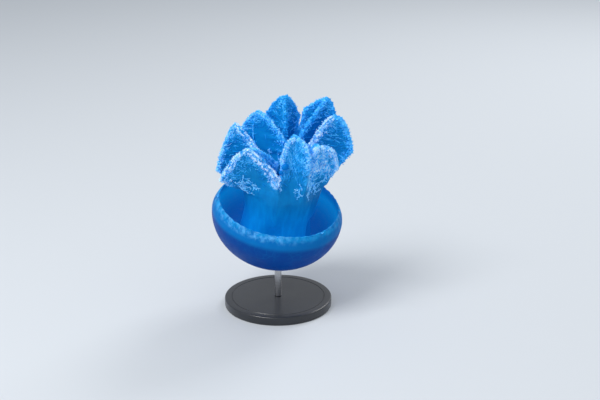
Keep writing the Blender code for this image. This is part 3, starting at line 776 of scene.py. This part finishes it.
    # Ridges square to the edges, beaded and broken into dashes, with buds standing along them.
    def addRidges(self, s):
        steps, uniform = s["ridgeSteps"], self.rng.uniform
        dense, far = self.arm["moss"][:2]
        for hand in (-1, 1):
            row, column, strength, _ = self.edgePlaces(s["ridgeSpacing"])
            count = len(row)
            flank = np.linalg.norm(readGrid(self.grid, row, column + hand * edgeMiddle)
                                   - readGrid(self.grid, row, column), axis=-1)
            high = smooth(0.6, 1.0, self.levelAt(row))
            length = (4 * mm + (far - 4) * mm * strength) * uniform(0.6, 1.1, count)
            length = np.minimum(length, 0.95 * flank + 14 * mm * high)
            heading = self.inwardHeading(row, column, hand)
            wander = self.rng.normal(size=(count, steps)) * 0.14
            rows, columns, places, normals = walk(self.grid, row, column, heading,
                                                  length / (steps - 1), steps, wander)
            t = np.linspace(0, 1, steps)[None]
            phase = uniform(0, 2 * np.pi, (count, 1))
            beads = 0.75 + 0.25 * np.sin(t * length[:, None] / s["beadLength"] * 2 * np.pi + phase)
            radii = s["ridgeRadius"] * beads * (1 - 0.4 * t) * (0.5 + 0.5 * strength[:, None])
            sink = s["ridgeRadius"] * (0.30 * np.sin(t * 11 + 2 * phase) - 0.25 * t)
            paths = places + normals * sink[..., None]
            fade = np.clip(1 - t * 0.75 / dense, 0.1, 1)
            full = self.fullness(column)[:, None]
            pale = np.minimum(self.edgeValue("pale", column), 1.2)[:, None]
            tone = 0.95 * pale * fade * (0.5 + 0.5 * strength[:, None]) * (0.4 + 0.6 * full)
            self.add(tubes(paths, normals, radii, 5), steps, 5, tone, row, column + hand * 2)
            for k in range(3, steps):
                chance = (0.34 - 0.22 * k / steps) * (0.4 + 0.6 * strength) * (length > 4 * mm)
                here = np.flatnonzero(uniform(size=count) < chance * min(dense, 1.2))
                radius = s["budRadius"] * uniform(0.55, 1.2, len(here))
                budTone = pale[here, 0] * uniform(0.4, 0.95, len(here)) * np.clip(
                    1 - 0.45 * k / steps / dense, 0, 1)
                middle = places[here, k] + normals[here, k] * radius[:, None] * 0.3
                self.addLumps(middle, normals[here, k], radius, rows[here, k], columns[here, k],
                              budTone, 4, 6, 0.22)

    # Thin bent threads lying on the panels, thinning out down the arm and away from the edges.
    # Each starts at the arm's own angle from upright, and strays.
    def addMoss(self, s):
        uniform, grid = self.rng.uniform, self.grid
        dense, far, lay, stray, pale = self.arm["moss"]
        count = s["threadsTried"]
        row = uniform(self.rowAt(0.16), len(grid) - 3, count)
        column = uniform(0, grid.shape[1], count)
        place, edges = readGrid(grid, row, column), grid[:, edgeMiddle::edgeStride]
        atRow = np.stack([readGrid(edges, row, row * 0 + i) for i in range(3)], 1)
        gap = np.linalg.norm(place[:, None] - atRow, axis=-1).min(-1)
        level = self.levelAt(row)
        near = np.exp(-((gap / (far * (0.35 + 0.95 * level) * mm)) ** 2))
        chance = dense * smooth(0.18, 0.6, level) * near * 0.7
        keep = np.flatnonzero((uniform(size=count) < chance) & (gap > 2.2 * mm))
        row, column, chance = row[keep], column[keep], chance[keep]
        up, across, _ = slopes(grid, row, column)
        spin = np.radians(lay + stray * uniform(-1, 1, len(row)))[:, None]
        heading = unit(up) * np.cos(spin) + unit(across) * np.sin(spin)
        steps, curl = len(s["threadShape"]), stray / 80
        wander = self.rng.normal(size=(len(row), steps)) * (0.12 + 0.43 * curl)
        length = uniform(*s["threadLength"], len(row)) * (1.6 - 0.6 * curl) * mm
        _, _, places, normals = walk(grid, row, column, heading, length / (steps - 1), steps, wander)
        shape = np.array(s["threadShape"])[None]
        radii = s["threadRadius"] * uniform(0.75, 1.3, (len(row), 1)) * shape
        tone = pale * uniform(0.3, 1, (len(row), 1)) * (0.7 + 0.3 * chance[:, None].clip(0, 1))
        self.add(tubes(places + normals * 0.16 * mm, normals, radii, 4), steps, 4,
                 tone + np.zeros((1, steps)), row, column)

    # White branches: each stem wanders down its panel, with twigs off the stem and sprigs off
    # those.
    def addTwigs(self, s):
        uniform = self.rng.uniform
        level, column, angle, reach = (np.array(x, float) for x in zip(*self.arm["twigs"]))
        row = self.rowAt(level)
        up, across, _ = slopes(self.grid, row, column)
        turn = np.radians(angle)[:, None]
        heading = -unit(up) * np.cos(turn) - unit(across) * np.sin(turn)
        length, radius = reach * mm, np.full(len(row), s["stemRadius"])
        for steps, forks, shrink, stray in s["branching"]:
            wander = self.rng.normal(size=(len(row), steps)) * stray
            rows, columns, places, normals = walk(self.grid, row, column, heading,
                                                  length / (steps - 1), steps, wander)
            t = np.linspace(0, 1, steps)[None]
            beads = 1 + 0.25 * np.sin(t * 21 + uniform(0, 6, (len(row), 1)))
            radii = radius[:, None] * (1 - 0.35 * t) * beads
            points = tubes(places + normals * radii[..., None] * 0.5, normals, radii, 5)
            tone = uniform(1.0, 1.2, (len(row), 1)) + 0 * t
            self.add(points, steps, 5, tone, row, column)
            ways = unit(np.gradient(places, axis=1))
            starts = []
            for number, k in enumerate(forks):
                hand = self.rng.choice([-1, 1]) * (-1) ** number
                spread = (uniform(0.65, 1.2, len(row)) * hand)[:, None]
                aside = np.cross(normals[:, k], ways[:, k])
                fork = ways[:, k] * np.cos(spread) + aside * np.sin(spread)
                grown = length * shrink * uniform(0.7, 1.3, len(row))
                starts.append((rows[:, k], columns[:, k], fork, grown, radii[:, k] * 0.82))
            if starts:
                row, column, heading, length, radius = (np.concatenate(x) for x in zip(*starts))

    # Round lobes of bare gel, half sunk in the panel.
    def addLobes(self):
        for level, column, radius in self.arm["lobes"]:
            row, column = np.array([self.rowAt(level)]), np.array([column])
            normal = slopes(self.grid, row, column)[2]
            place = readGrid(self.grid, row, column) + normal * 0.25 * radius * mm
            self.addLumps(place, normal, np.array([radius * mm]), row, column,
                          np.array([0.12]), 15, 24, 0.05)

    # Thin lines of small lumps and fingers up a panel.
    def addSeams(self, s):
        uniform, normalDraw = self.rng.uniform, self.rng.normal
        for column, low in self.arm["seams"]:
            wings = np.arange(len(self.share))
            travelled = lengthAlong(readGrid(self.grid, wings, wings * 0.0 + column))
            first = np.interp(low, self.share, travelled)
            stops = np.arange(first, travelled[-1] - 4 * mm, s["seamRadius"])
            row = np.interp(stops, travelled, wings)
            column = column + 1.2 * np.sin(stops / (9 * mm)) + normalDraw(size=len(row)) * 0.12
            normal = slopes(self.grid, row, column)[2]
            radius = s["seamRadius"] * uniform(0.6, 1.2, len(row))
            tone = uniform(0.7, 1, len(row))
            place = readGrid(self.grid, row, column) + normal * radius[:, None] * 0.3
            self.addLumps(place, normal, radius, row, column, tone)
            way = unit(normal + 0.9 * unit(normalDraw(size=normal.shape)))
            self.addFingers(place + way * radius[:, None] * 0.7, way, radius * 1.4, radius * 0.35,
                            row, column, tone)


# One arm's whole coat as one piece.
def makeFrill(number, arm, grid, share, turns):
    coat = Coat(grid, 100 + number, arm, share, turns)
    coat.addFrill(coatSettings)
    coat.addRidges(coatSettings)
    coat.addMoss(coatSettings)
    coat.addTwigs(coatSettings)
    coat.addLobes()
    coat.addSeams(coatSettings)
    return coat.write(f"frills_{number + 1}")


# Each grain is rows below the rim's top, columns to the side, and radius in millimetres.
organSettings = {"grains": ((0.8, 0, 0.95), (0.2, -1.3, 0.5), (1.6, 1.2, 0.6)), "tone": 1.0}


# The bell's sense organs: a small pale bulb with two grains beside it in each rim notch.
def makeSenseOrgans(s):
    rise, inside, count = bellRise[:, 0], bellInside[:, 0], bellSettings["notches"]
    top = np.flatnonzero((rise == 1) & (inside > 0) & (inside < 0.5))[-1]
    below, aside, size = (np.tile(x, count) for x in zip(*s["grains"]))
    column = np.repeat(np.arange(count) * bellSettings["columns"] / count, len(s["grains"])) + aside
    row, radius = top - below, size * mm
    coat = Coat(toWorld(bellPoints), 90)
    normal = slopes(coat.grid, row, column)[2]
    place = readGrid(coat.grid, row, column) - normal * radius[:, None] * 0.15
    tone = row * 0 + s["tone"]
    coat.addLumps(place, normal, radius, row, column, tone, 7, 12, 0.08)
    return coat.write("senseOrgans")


frills = [makeFrill(i, arm, *armGrids[i]) for i, arm in enumerate(armRows)]
frills.append(makeSenseOrgans(organSettings))


# A number or colour that runs through a material: arithmetic on it adds Math nodes.
class Wire:
    def __init__(self, socket):
        self.socket, self.tree = socket, socket.id_data

    # A Math node on the values given, or on this wire alone.
    def math(self, operation, *values, clamp=False):
        return addNode(self.tree, "Math", dict(enumerate(values or [self])), operation=operation,
                       use_clamp=clamp)

    def __add__(self, other):
        return self.math("ADD", self, other)

    def __radd__(self, other):
        return self.math("ADD", other, self)

    def __sub__(self, other):
        return self.math("SUBTRACT", self, other)

    def __rsub__(self, other):
        return self.math("SUBTRACT", other, self)

    def __mul__(self, other):
        return self.math("MULTIPLY", self, other)

    def __truediv__(self, other):
        return self.math("DIVIDE", self, other)

    # Another output of the node that this one comes from.
    def beside(self, output):
        return Wire(self.socket.node.outputs[output])


# Puts a plain value in a socket, or joins a wire to it.
def plug(value, socket):
    if isinstance(value, Wire):
        socket.id_data.links.new(value.socket, socket)
    else:
        socket.default_value = value


# A shader node of one kind, its sockets filled from values. It gives one output as a wire.
def addNode(tree, kind, values=None, output=0, **settings):
    made = tree.nodes.new("ShaderNode" + kind)
    for name, value in settings.items():
        setattr(made, name, value)
    for key, value in (values or {}).items():
        plug(value, made.inputs[key])
    return Wire(made.outputs[output])


# first x (1 - share) + second x share, as colours.
def mixed(share, first, second):
    return addNode(share.tree, "Mix", {0: share, 6: first, 7: second}, 2, data_type="RGBA")


# The smooth step from 0 at low to 1 at high.
def ramped(value, low, high):
    return addNode(value.tree, "MapRange", {0: value, 1: low, 2: high, 3: 0.0, 4: 1.0},
                   interpolation_type="SMOOTHSTEP")


# Soft noise from 0 to 1, with features 1 / scale metres across.
def noise(place, scale, detail, **more):
    values = {"Vector": place, "Scale": scale, "Detail": detail, **more}
    return addNode(place.tree, "TexNoise", values)


# The place on the object in metres, which is the world's own.
def objectPlace(tree):
    return addNode(tree, "TexCoord", output="Object")


# An empty node group with a Place input and named number and colour inputs.
def newGroup(name, colours, numbers, outputs):
    group = bpy.data.node_groups.new(name, "ShaderNodeTree")
    group.interface.new_socket("Place", in_out="INPUT", socket_type="NodeSocketVector")
    for socket in colours:
        group.interface.new_socket(socket, in_out="INPUT", socket_type="NodeSocketColor")
    for socket, value in numbers.items():
        made = group.interface.new_socket(socket, in_out="INPUT", socket_type="NodeSocketFloat")
        made.default_value = value
    for socket, kind in outputs.items():
        group.interface.new_socket(socket, in_out="OUTPUT", socket_type="NodeSocket" + kind)
    given = group.nodes.new("NodeGroupInput").outputs
    return group, {socket.name: Wire(socket) for socket in given if socket.name}, group.nodes.new(
        "NodeGroupOutput").inputs


# Clouds of two sizes in the gel, and a milky veil over its colour where Milk says.
def makeGelTint():
    group, given, result = newGroup(
        "gelTint", ("Deep", "Light", "Milky"),
        {"Lightness": 0.5, "Milk": 0.0, "Cloud Size": 90.0, "Clouding": 0.5}, {"Color": "Color"})
    broad = noise(given["Place"], given["Cloud Size"], 2.0)
    fine = noise(given["Place"], given["Cloud Size"] * 5.5, 3.0)
    cloud = broad * 0.65 + fine * 0.35
    swing = (cloud - 0.5) * given["Clouding"]
    share = cloud.math("ADD", given["Lightness"], swing, clamp=True)
    veil = cloud.math("MULTIPLY", given["Milk"], ramped(cloud, 0.36, 0.62), clamp=True)
    tint = mixed(share, given["Deep"], given["Light"])
    plug(mixed(veil, tint, given["Milky"]), result["Color"])
    return group


# Fine grains on a wet skin: the distance between the cells of a fine pattern, with soft noise.
def makeWetGrain():
    group, given, result = newGroup("wetGrain", (), {"Grain Size": 700.0, "Softness": 0.5},
                                    {"Height": "Float", "Wetness": "Float"})
    cells = addNode(group, "TexVoronoi", {"Vector": given["Place"], "Scale": given["Grain Size"]},
                    "Distance")
    soft = noise(given["Place"], given["Grain Size"] * 0.3, 2.0)
    low = (1.0 - cells) * (1.0 - given["Softness"])
    plug(low + soft * given["Softness"], result["Height"])
    plug(soft, result["Wetness"])
    return group


print("materials")
gelTint, wetGrain = makeGelTint(), makeWetGrain()


# The gel tint group with its values, as a colour.
def tinted(place, deep, light, milky, lightness, milk, cloudSize, clouding):
    return addNode(place.tree, "Group", {
        "Place": place, "Deep": deep, "Light": light, "Milky": milky, "Lightness": lightness,
        "Milk": milk, "Cloud Size": cloudSize, "Clouding": clouding}, node_tree=gelTint)


# The grain's height, whose other output is the wetness.
def grained(place, s):
    return addNode(place.tree, "Group", {"Place": place, "Grain Size": s["grain"][0],
                                         "Softness": s["grain"][1]}, node_tree=wetGrain)


# A material whose shader has plain values in some sockets.
def newMaterial(name, sockets):
    made = bpy.data.materials.new(name)
    made.use_nodes = True
    shader = made.node_tree.nodes["Principled BSDF"].inputs
    for key, value in sockets.items():
        shader[key].default_value = value
    return made, made.node_tree, shader


# Bump from a height, and roughness from low to high as a value goes from 0.3 to 0.7.
def finished(shader, height, value, s):
    strength, distance = s["bump"]
    plug(addNode(height.tree, "Bump", {"Strength": strength, "Distance": distance,
                                       "Height": height}), shader["Normal"])
    low, high = s["roughness"]
    plug(addNode(height.tree, "MapRange", {0: value, 1: 0.3, 2: 0.7, 3: low, 4: high}),
         shader["Roughness"])


skinFinish = {
    # the lower bowl: the clear gel's deep blue, darkened further as painted shade of the underside
    # turned from the light
    "bowlTintAndShade": (0.001, 0.050, 0.290, 1),
    "margin": (0.001, 0.140, 0.450, 1),
    "body": (0.002, 0.215, 0.560, 1),  # the arms' upper parts
    # painted shade: the arms' colour lower down, where less light falls
    "bodyShade": (0.001, 0.150, 0.440, 1),  # and lower down
    "hollow": (0.001, 0.230, 0.530, 1),  # inside the bell, near the rim
    # painted shade at the bell's inner floor and round the stalks' feet
    "hollowShade": (0.001, 0.085, 0.320, 1),  # and at its floor
    "milk": (0.010, 0.360, 0.760, 1),
    "blotch": (0.120, 0.450, 0.840, 1),
    "veil": (0.025, 0.350, 0.800, 1),
    "lilac": (0.320, 0.580, 0.940, 1),
    "opacity": 0.97,
    "clearness": 0.06,  # how much more shows through the bowl
    "canals": 16,
    "rings": 3200.0,  # muscle rings inside the bell, radians to a metre
    "grain": (620.0, 0.35),
    "bump": (0.35, 0.25 * mm),
    "roughness": (0.38, 0.52),
    # Emission in the gel's own colour is a painted glow that lifts the shade inside the bell and low
    # on the stalks; the rest of the gel has this share of it, at the shader's Emission Strength.
    "paintedGlowOutside": 0.14,  # the share of the bell's inner glow that the rest has
    "shader": {"Subsurface Weight": 0.25, "Subsurface Radius": (0.2, 0.7, 1.0),
               "Subsurface Scale": 6 * mm, "Specular IOR Level": 0.06, "Emission Strength": 0.62},
}


# The gel of bell and arms. The bell's faces use it with clearness, and the rest without.
def skinMaterial(name, s, clearness):
    made, tree, shader = newMaterial(name, s["shader"])
    seen = objectPlace(tree)
    # The bell's own frame: moved back to the bell's centre and leaned upright.
    turn = [math.radians(poseSettings[key]) for key in ("frontLean", "sideLean")]
    own = addNode(tree, "Mapping", {"Vector": seen, "Location": tuple(bellCentre),
                                    "Rotation": (*turn, 0)}, vector_type="TEXTURE")
    x = addNode(tree, "SeparateXYZ", {0: own})
    y, z = x.beside("Y"), x.beside("Z")
    reach = (x * x + y * y).math("SQRT")
    bowl, milk, hollow, keel, onBell = (addNode(tree, "Attribute", attribute_name=field, output="Fac")
                                        for field in ("bowl", "milk", "hollow", "keel", "bell"))
    # The arms: fine fibres run up the stalks, as noise drawn out along the axis, and the coat's
    # colour shows round its roots. Lower on the arms the colour is painted darker, as shade.
    fibre = noise(addNode(tree, "Mapping", {"Vector": own, "Scale": (1, 1, 0.16)}), 240.0, 3.0)
    # Lightness rises with height, so the arms are painted darker low down as shade, streaked by the
    # fibres.
    high = ramped(z, 0.005, 0.075) + (fibre - 0.45) * 1.6
    veil = mixed(ramped(keel, 0.90, 1.35), s["veil"], s["lilac"])
    arms = tinted(seen, s["bodyShade"], s["body"], veil, high, keel * 1.5, 70.0, 1.1)
    # Pale blotches lie along the rim, more of them at the front.
    rim = tinted(seen, s["margin"], s["body"], s["milk"], 0.12, ramped(milk, 0.55, 1.0) * 0.6,
                 110.0, 0.5)
    front = ramped(y, 0.03, -0.055) * ramped(x, 0.045, -0.015)
    spots = noise(seen, 150.0, 3.0, Roughness=0.6)
    belt = ramped(milk, 0.25, 0.85) * (0.08 + front * 0.75)
    spotted = mixed(ramped(spots, 0.40, 0.74) * belt, rim, s["blotch"])
    # Canals run down the bowl, and a net of finer ones joins them under the margin.
    spoke = (x.math("ARCTAN2", x, y) * (s["canals"] / 2)).math("SINE").math("ABSOLUTE")
    canal = 1.0 - ramped(spoke * reach, 0.0, 0.012)
    net = addNode(tree, "TexVoronoi", {"Vector": seen, "Scale": 120.0}, "Distance",
                  feature="DISTANCE_TO_EDGE")
    strip = ramped(z, -0.030, -0.012) * (1.0 - ramped(z, 0.0, 0.012))
    lines = x.math("MAXIMUM", canal * 0.5, ramped(net, 0.09, 0.0) * strip)
    # The lower bowl in its gel's deep blue with painted shade, the canals paler over it.
    deep = tinted(seen, s["bowlTintAndShade"], s["margin"], s["margin"], 0.08, lines * 0.30, 45.0, 0.45)
    colour = mixed(onBell, arms, mixed(bowl, spotted, deep))
    # Painted shade: the stalks are darker low on their two sides, round the pits, in the cavity's
    # shade colour.
    beside = ramped(x.math("ABSOLUTE") / reach, 0.72, 1.0)
    flank = ramped(z, 0.075, 0.015) * (1.0 - onBell)
    colour = mixed(beside * flank * 0.8, colour, s["hollowShade"])
    # Inside the bell the colour is painted darker toward the floor and the stalks' feet, as shade.
    away = ramped(z, -0.030, 0.006) * ramped(reach, 0.036, 0.062)
    colour = mixed(hollow, colour, mixed(away, s["hollowShade"], s["hollow"]))
    plug(colour, shader["Base Color"])
    # Painted glow: the gel emits its own colour, fully inside the bell and low on the stalks, a
    # little elsewhere.
    within = x.math("MAXIMUM", hollow, ramped(z, 0.045, 0.005) * (1.0 - onBell))
    paintedGlow = s["paintedGlowOutside"] + within * (1 - s["paintedGlowOutside"])
    plug(mixed(paintedGlow, (0, 0, 0, 1), colour), shader["Emission Color"])
    # Rings of muscle inside the bell and fine grain outside.
    grain = grained(seen, s)
    rings = (reach * s["rings"]).math("SINE") * hollow
    finished(shader, grain + rings * 0.6, grain.beside("Wetness"), s)
    if clearness:
        plug(s["opacity"] - bowl * clearness, shader["Alpha"])
    return made


frillFinish = {
    "root": (0.001, 0.160, 0.520, 1),
    "middle": (0.008, 0.310, 0.770, 1),
    "tip": (0.090, 0.520, 1.000, 1),
    "lilac": (0.560, 0.760, 1.000, 1),
    "grain": (1500.0, 0.6),
    "bump": (0.3, 0.1 * mm),
    "roughness": (0.45, 0.60),
    "shader": {"Subsurface Weight": 0.30, "Subsurface Radius": (0.4, 0.8, 1.0),
               "Subsurface Scale": 1.6 * mm, "Specular IOR Level": 0.05, "Emission Strength": 0.18},
}


# The frill: azure at the roots, paler up each tuft, and lilac white along the edges, with a faint
# painted glow in the same colours.
def frillMaterial(s):
    made, tree, shader = newMaterial("frillTissue", s["shader"])
    seen = objectPlace(tree)
    tone = addNode(tree, "Attribute", attribute_name="tone", output="Fac")
    pale = mixed(ramped(tone, 0.80, 1.80), s["tip"], s["lilac"])
    tint = tinted(seen, s["root"], s["middle"], pale, ramped(tone, 0.15, 0.70),
                  ramped(tone, 0.50, 1.0) * 1.6, 160.0, 0.9)
    plug(tint, shader["Base Color"])
    # Painted glow: the frill emits its own colour, lifting the shade between the tufts.
    plug(tint, shader["Emission Color"])
    grain = grained(seen, s)
    finished(shader, grain, grain.beside("Wetness"), s)
    return made


skin.data.materials.append(skinMaterial("armGel", skinFinish, 0))
skin.data.materials.append(skinMaterial("bellGel", skinFinish, skinFinish["clearness"]))
frillTissue = frillMaterial(frillFinish)
for frill in frills:
    frill.data.materials.append(frillTissue)


# Faces of the bell take the second material: those whose corners' bell field is over a half.
def splitFinish(mesh):
    onBell = np.empty(len(mesh.vertices))
    mesh.attributes["bell"].data.foreach_get("value", onBell)
    corners = np.empty(len(mesh.loops), int)
    mesh.loops.foreach_get("vertex_index", corners)
    second = onBell[corners].reshape(-1, 3).mean(1) > 0.5
    mesh.polygons.foreach_set("material_index", second.astype(np.int32))
    mesh.update()


splitFinish(skin.data)

standSettings = {
    "columns": 128,
    "bevel": 1.5 * mm,
    "groove": (53.0 * mm, 1.2 * mm, 0.5 * mm),  # reach, width and depth of a turned line
    "chamfer": 0.4 * mm,
    "cupDrop": 4.5 * mm,  # the cup's rim thickness
    "cupGap": 0.6 * mm,  # between cup and bell
    "cupEdge": 0.5 * mm,
    "cupRows": 10,
    "sharpAngle": 28,
}
enamelFinish = {
    "colours": ((0.010, 0.012, 0.016, 1), (0.022, 0.025, 0.032, 1)),
    "grain": (900.0, 0.8),
    "bump": (0.12, 0.05 * mm),
    "roughness": (0.30, 0.42),
    "shader": {"Coat Weight": 0.3, "Coat Roughness": 0.2},
}
steelFinish = {
    "colours": ((0.48, 0.49, 0.51, 1), (0.66, 0.66, 0.68, 1)),
    "marks": (30, 30, 2500),  # turning marks, drawn out round the axis
    "bump": (0.15, 0.04 * mm),
    "roughness": (0.24, 0.38),
    "shader": {"Metallic": 1.0},
}


# The height of the leaning bowl straight over x, y: the lower root of its ellipsoid's equation.
def bowlUnderside(x, y):
    flat = np.array([1, 1, 1 / poseSettings["bowlDepth"]])
    origin = ((np.stack([x, y, 0 * x], -1) - bellCentre) @ lean) / bellRadius * flat
    way = lean[2] / bellRadius * flat
    a, b, c = way @ way, 2 * origin @ way, np.sum(origin**2, -1) - 1
    return (-b - np.sqrt(b * b - 4 * a * c)) / (2 * a)


# A closed turned piece, its rings going from the bottom's middle out and round to the top's.
def turned(name, rings):
    made = shell(name, rings)
    made.data.set_sharp_from_angle(angle=math.radians(standSettings["sharpAngle"]))
    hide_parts(name)
    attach(made, "root")
    return made


# Seven points of a quarter circle round a centre at reach, height, from a start angle.
def quarterBend(reach, height, size, start):
    turn = np.radians(start + np.linspace(0, 90, 7))
    return list(zip(reach + size * np.sin(turn), height - size * np.cos(turn)))


# Base, rod and cup, each sized by its own solid's box.
def makeStand(s):
    bearing = np.arange(s["columns"]) * 360 / s["columns"]

    # An outline of reach and height turned round the upright axis.
    def spun(outline):
        return around(bearing[None], *np.array(outline).T[..., None])

    _, (r, _, top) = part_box("stand_base")
    size, (at, wide, deep) = s["bevel"], s["groove"]
    outline = [(0.3 * r, 0), (0.6 * r, 0)] + quarterBend(r - size, size, size, 0)
    outline += quarterBend(r - size, top - size, size, 90)
    outline += [(at + wide, top), (at + 0.7 * wide, top - deep), (at + 0.3 * wide, top - deep),
                (at, top), (0.6 * r, top), (0.3 * r, top)]
    base = turned("stand_base", spun(outline))
    (_, _, low), (r, _, high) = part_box("stand_rod")
    cut, rodReach = s["chamfer"], r
    outline = [(r - cut, low), (r, low + cut), (r, high - cut), (r - cut, high)]
    rod = turned("stand_rod", spun(outline))
    (_, _, low), (r, _, _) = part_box("stand_cup")
    # The cup's underside spreads from the rod to its rim, and its top follows the bowl.
    rows = []
    start, end = around(bearing, 1.3 * rodReach, low), around(bearing, r - s["cupEdge"], 0)
    for q in (0, 0.33, 0.67, 1):
        row = start * (1 - q) + end * q
        row[:, 2] = low * (1 - q) + (bowlUnderside(row[:, 0], row[:, 1]) - s["cupDrop"]) * q
        rows.append(row)
    rims = [(1, s["cupDrop"] - s["cupEdge"]), (1, s["cupGap"] + s["cupEdge"])]
    rims += [(q, s["cupGap"]) for q in np.linspace(1 - s["cupEdge"] / r, 0.08, s["cupRows"])]
    for q, drop in rims:
        row = around(bearing, r * q, 0.0)
        row[:, 2] = bowlUnderside(row[:, 0], row[:, 1]) - drop
        rows.append(row)
    return base, rod, turned("stand_cup", np.stack(rows))


# Dark enamel, clouded very slightly, with a fine orange-peel surface.
def enamelMaterial(s):
    made, tree, shader = newMaterial("standEnamel", s["shader"])
    seen = objectPlace(tree)
    cloud = noise(seen, 35.0, 4.0)
    plug(mixed(cloud, *s["colours"]), shader["Base Color"])
    finished(shader, grained(seen, s), cloud, s)
    return made


# Steel with fine turning marks: noise that is stretched round the axis.
def steelMaterial(s):
    made, tree, shader = newMaterial("standSteel", s["shader"])
    pressed = addNode(tree, "Mapping", {"Vector": objectPlace(tree), "Scale": s["marks"]})
    marks = noise(pressed, 1.0, 3.0)
    plug(mixed(marks, *s["colours"]), shader["Base Color"])
    finished(shader, marks, marks, s)
    return made


print("stand")
standBase, standRod, standCup = makeStand(standSettings)
standSteel = steelMaterial(steelFinish)
standBase.data.materials.append(enamelMaterial(enamelFinish))
for piece in (standRod, standCup):
    piece.data.materials.append(standSteel)

studioSettings = {
    "floorSize": 16.0,
    "floor": {"Base Color": (0.60, 0.63, 0.66, 1), "Roughness": 0.8},
    "sky": {"Color": (0.88, 0.93, 1.0, 1), "Strength": 0.55},
    "lamps": (((-1.1, -1.0, 2.0), 1.1, 42), ((1.2, 1.5, 1.7), 1.0, 22)),  # place, size, power
    "elevation": 20,  # degrees the camera looks down
    "distance": 1.3,
    "lens": 68.6,
    "aimRight": 0.0196678,  # past the bell's centre, as a share of the distance
    "aimUp": 0.0113636,
}


# Puts a lamp or camera at a place, pointed along a direction with its own Y upward.
def standAt(name, data, place, way):
    made = bpy.data.objects.new(name, data)
    made.location = place
    made.rotation_euler = Vector(way).to_track_quat("-Z", "Y").to_euler()
    bpy.context.scene.collection.objects.link(made)
    return made


# A pale floor, an even sky, a large lamp in front and one behind.
def studio(s):
    half = s["floorSize"] / 2
    corners = np.array([[-half, -half, 0], [half, -half, 0], [half, half, 0], [-half, half, 0]])
    floor = meshObject("floor", corners, np.array([[0, 1, 2, 3]]))
    floor.data.materials.append(newMaterial("studioFloor", s["floor"])[0])
    world = bpy.data.worlds.new("studioLight")
    world.use_nodes = True
    for key, value in s["sky"].items():
        world.node_tree.nodes["Background"].inputs[key].default_value = value
    bpy.context.scene.world = world
    for name, (place, size, power) in zip(("key", "back"), s["lamps"]):
        lamp = bpy.data.lights.new(name, "AREA")
        lamp.size, lamp.energy = size, power
        standAt(name, lamp, place, bellCentre - np.array(place))


# The camera stands in front, above the horizon by the elevation, and aims a little right of the
# bell's centre and above it.
def camera(s):
    e = math.radians(s["elevation"])
    back = np.array([0, -math.cos(e), math.sin(e)])
    up = np.array([0, math.sin(e), math.cos(e)])
    way = np.array([1, 0, 0]) * s["aimRight"] + up * s["aimUp"] - back
    data = bpy.data.cameras.new("camera")
    data.lens, data.sensor_width = s["lens"], 36
    bpy.context.scene.camera = standAt("camera", data, bellCentre + back * s["distance"], way)


print("studio")
studio(studioSettings)
camera(studioSettings)
bpy.context.scene.view_settings.view_transform = "Standard"
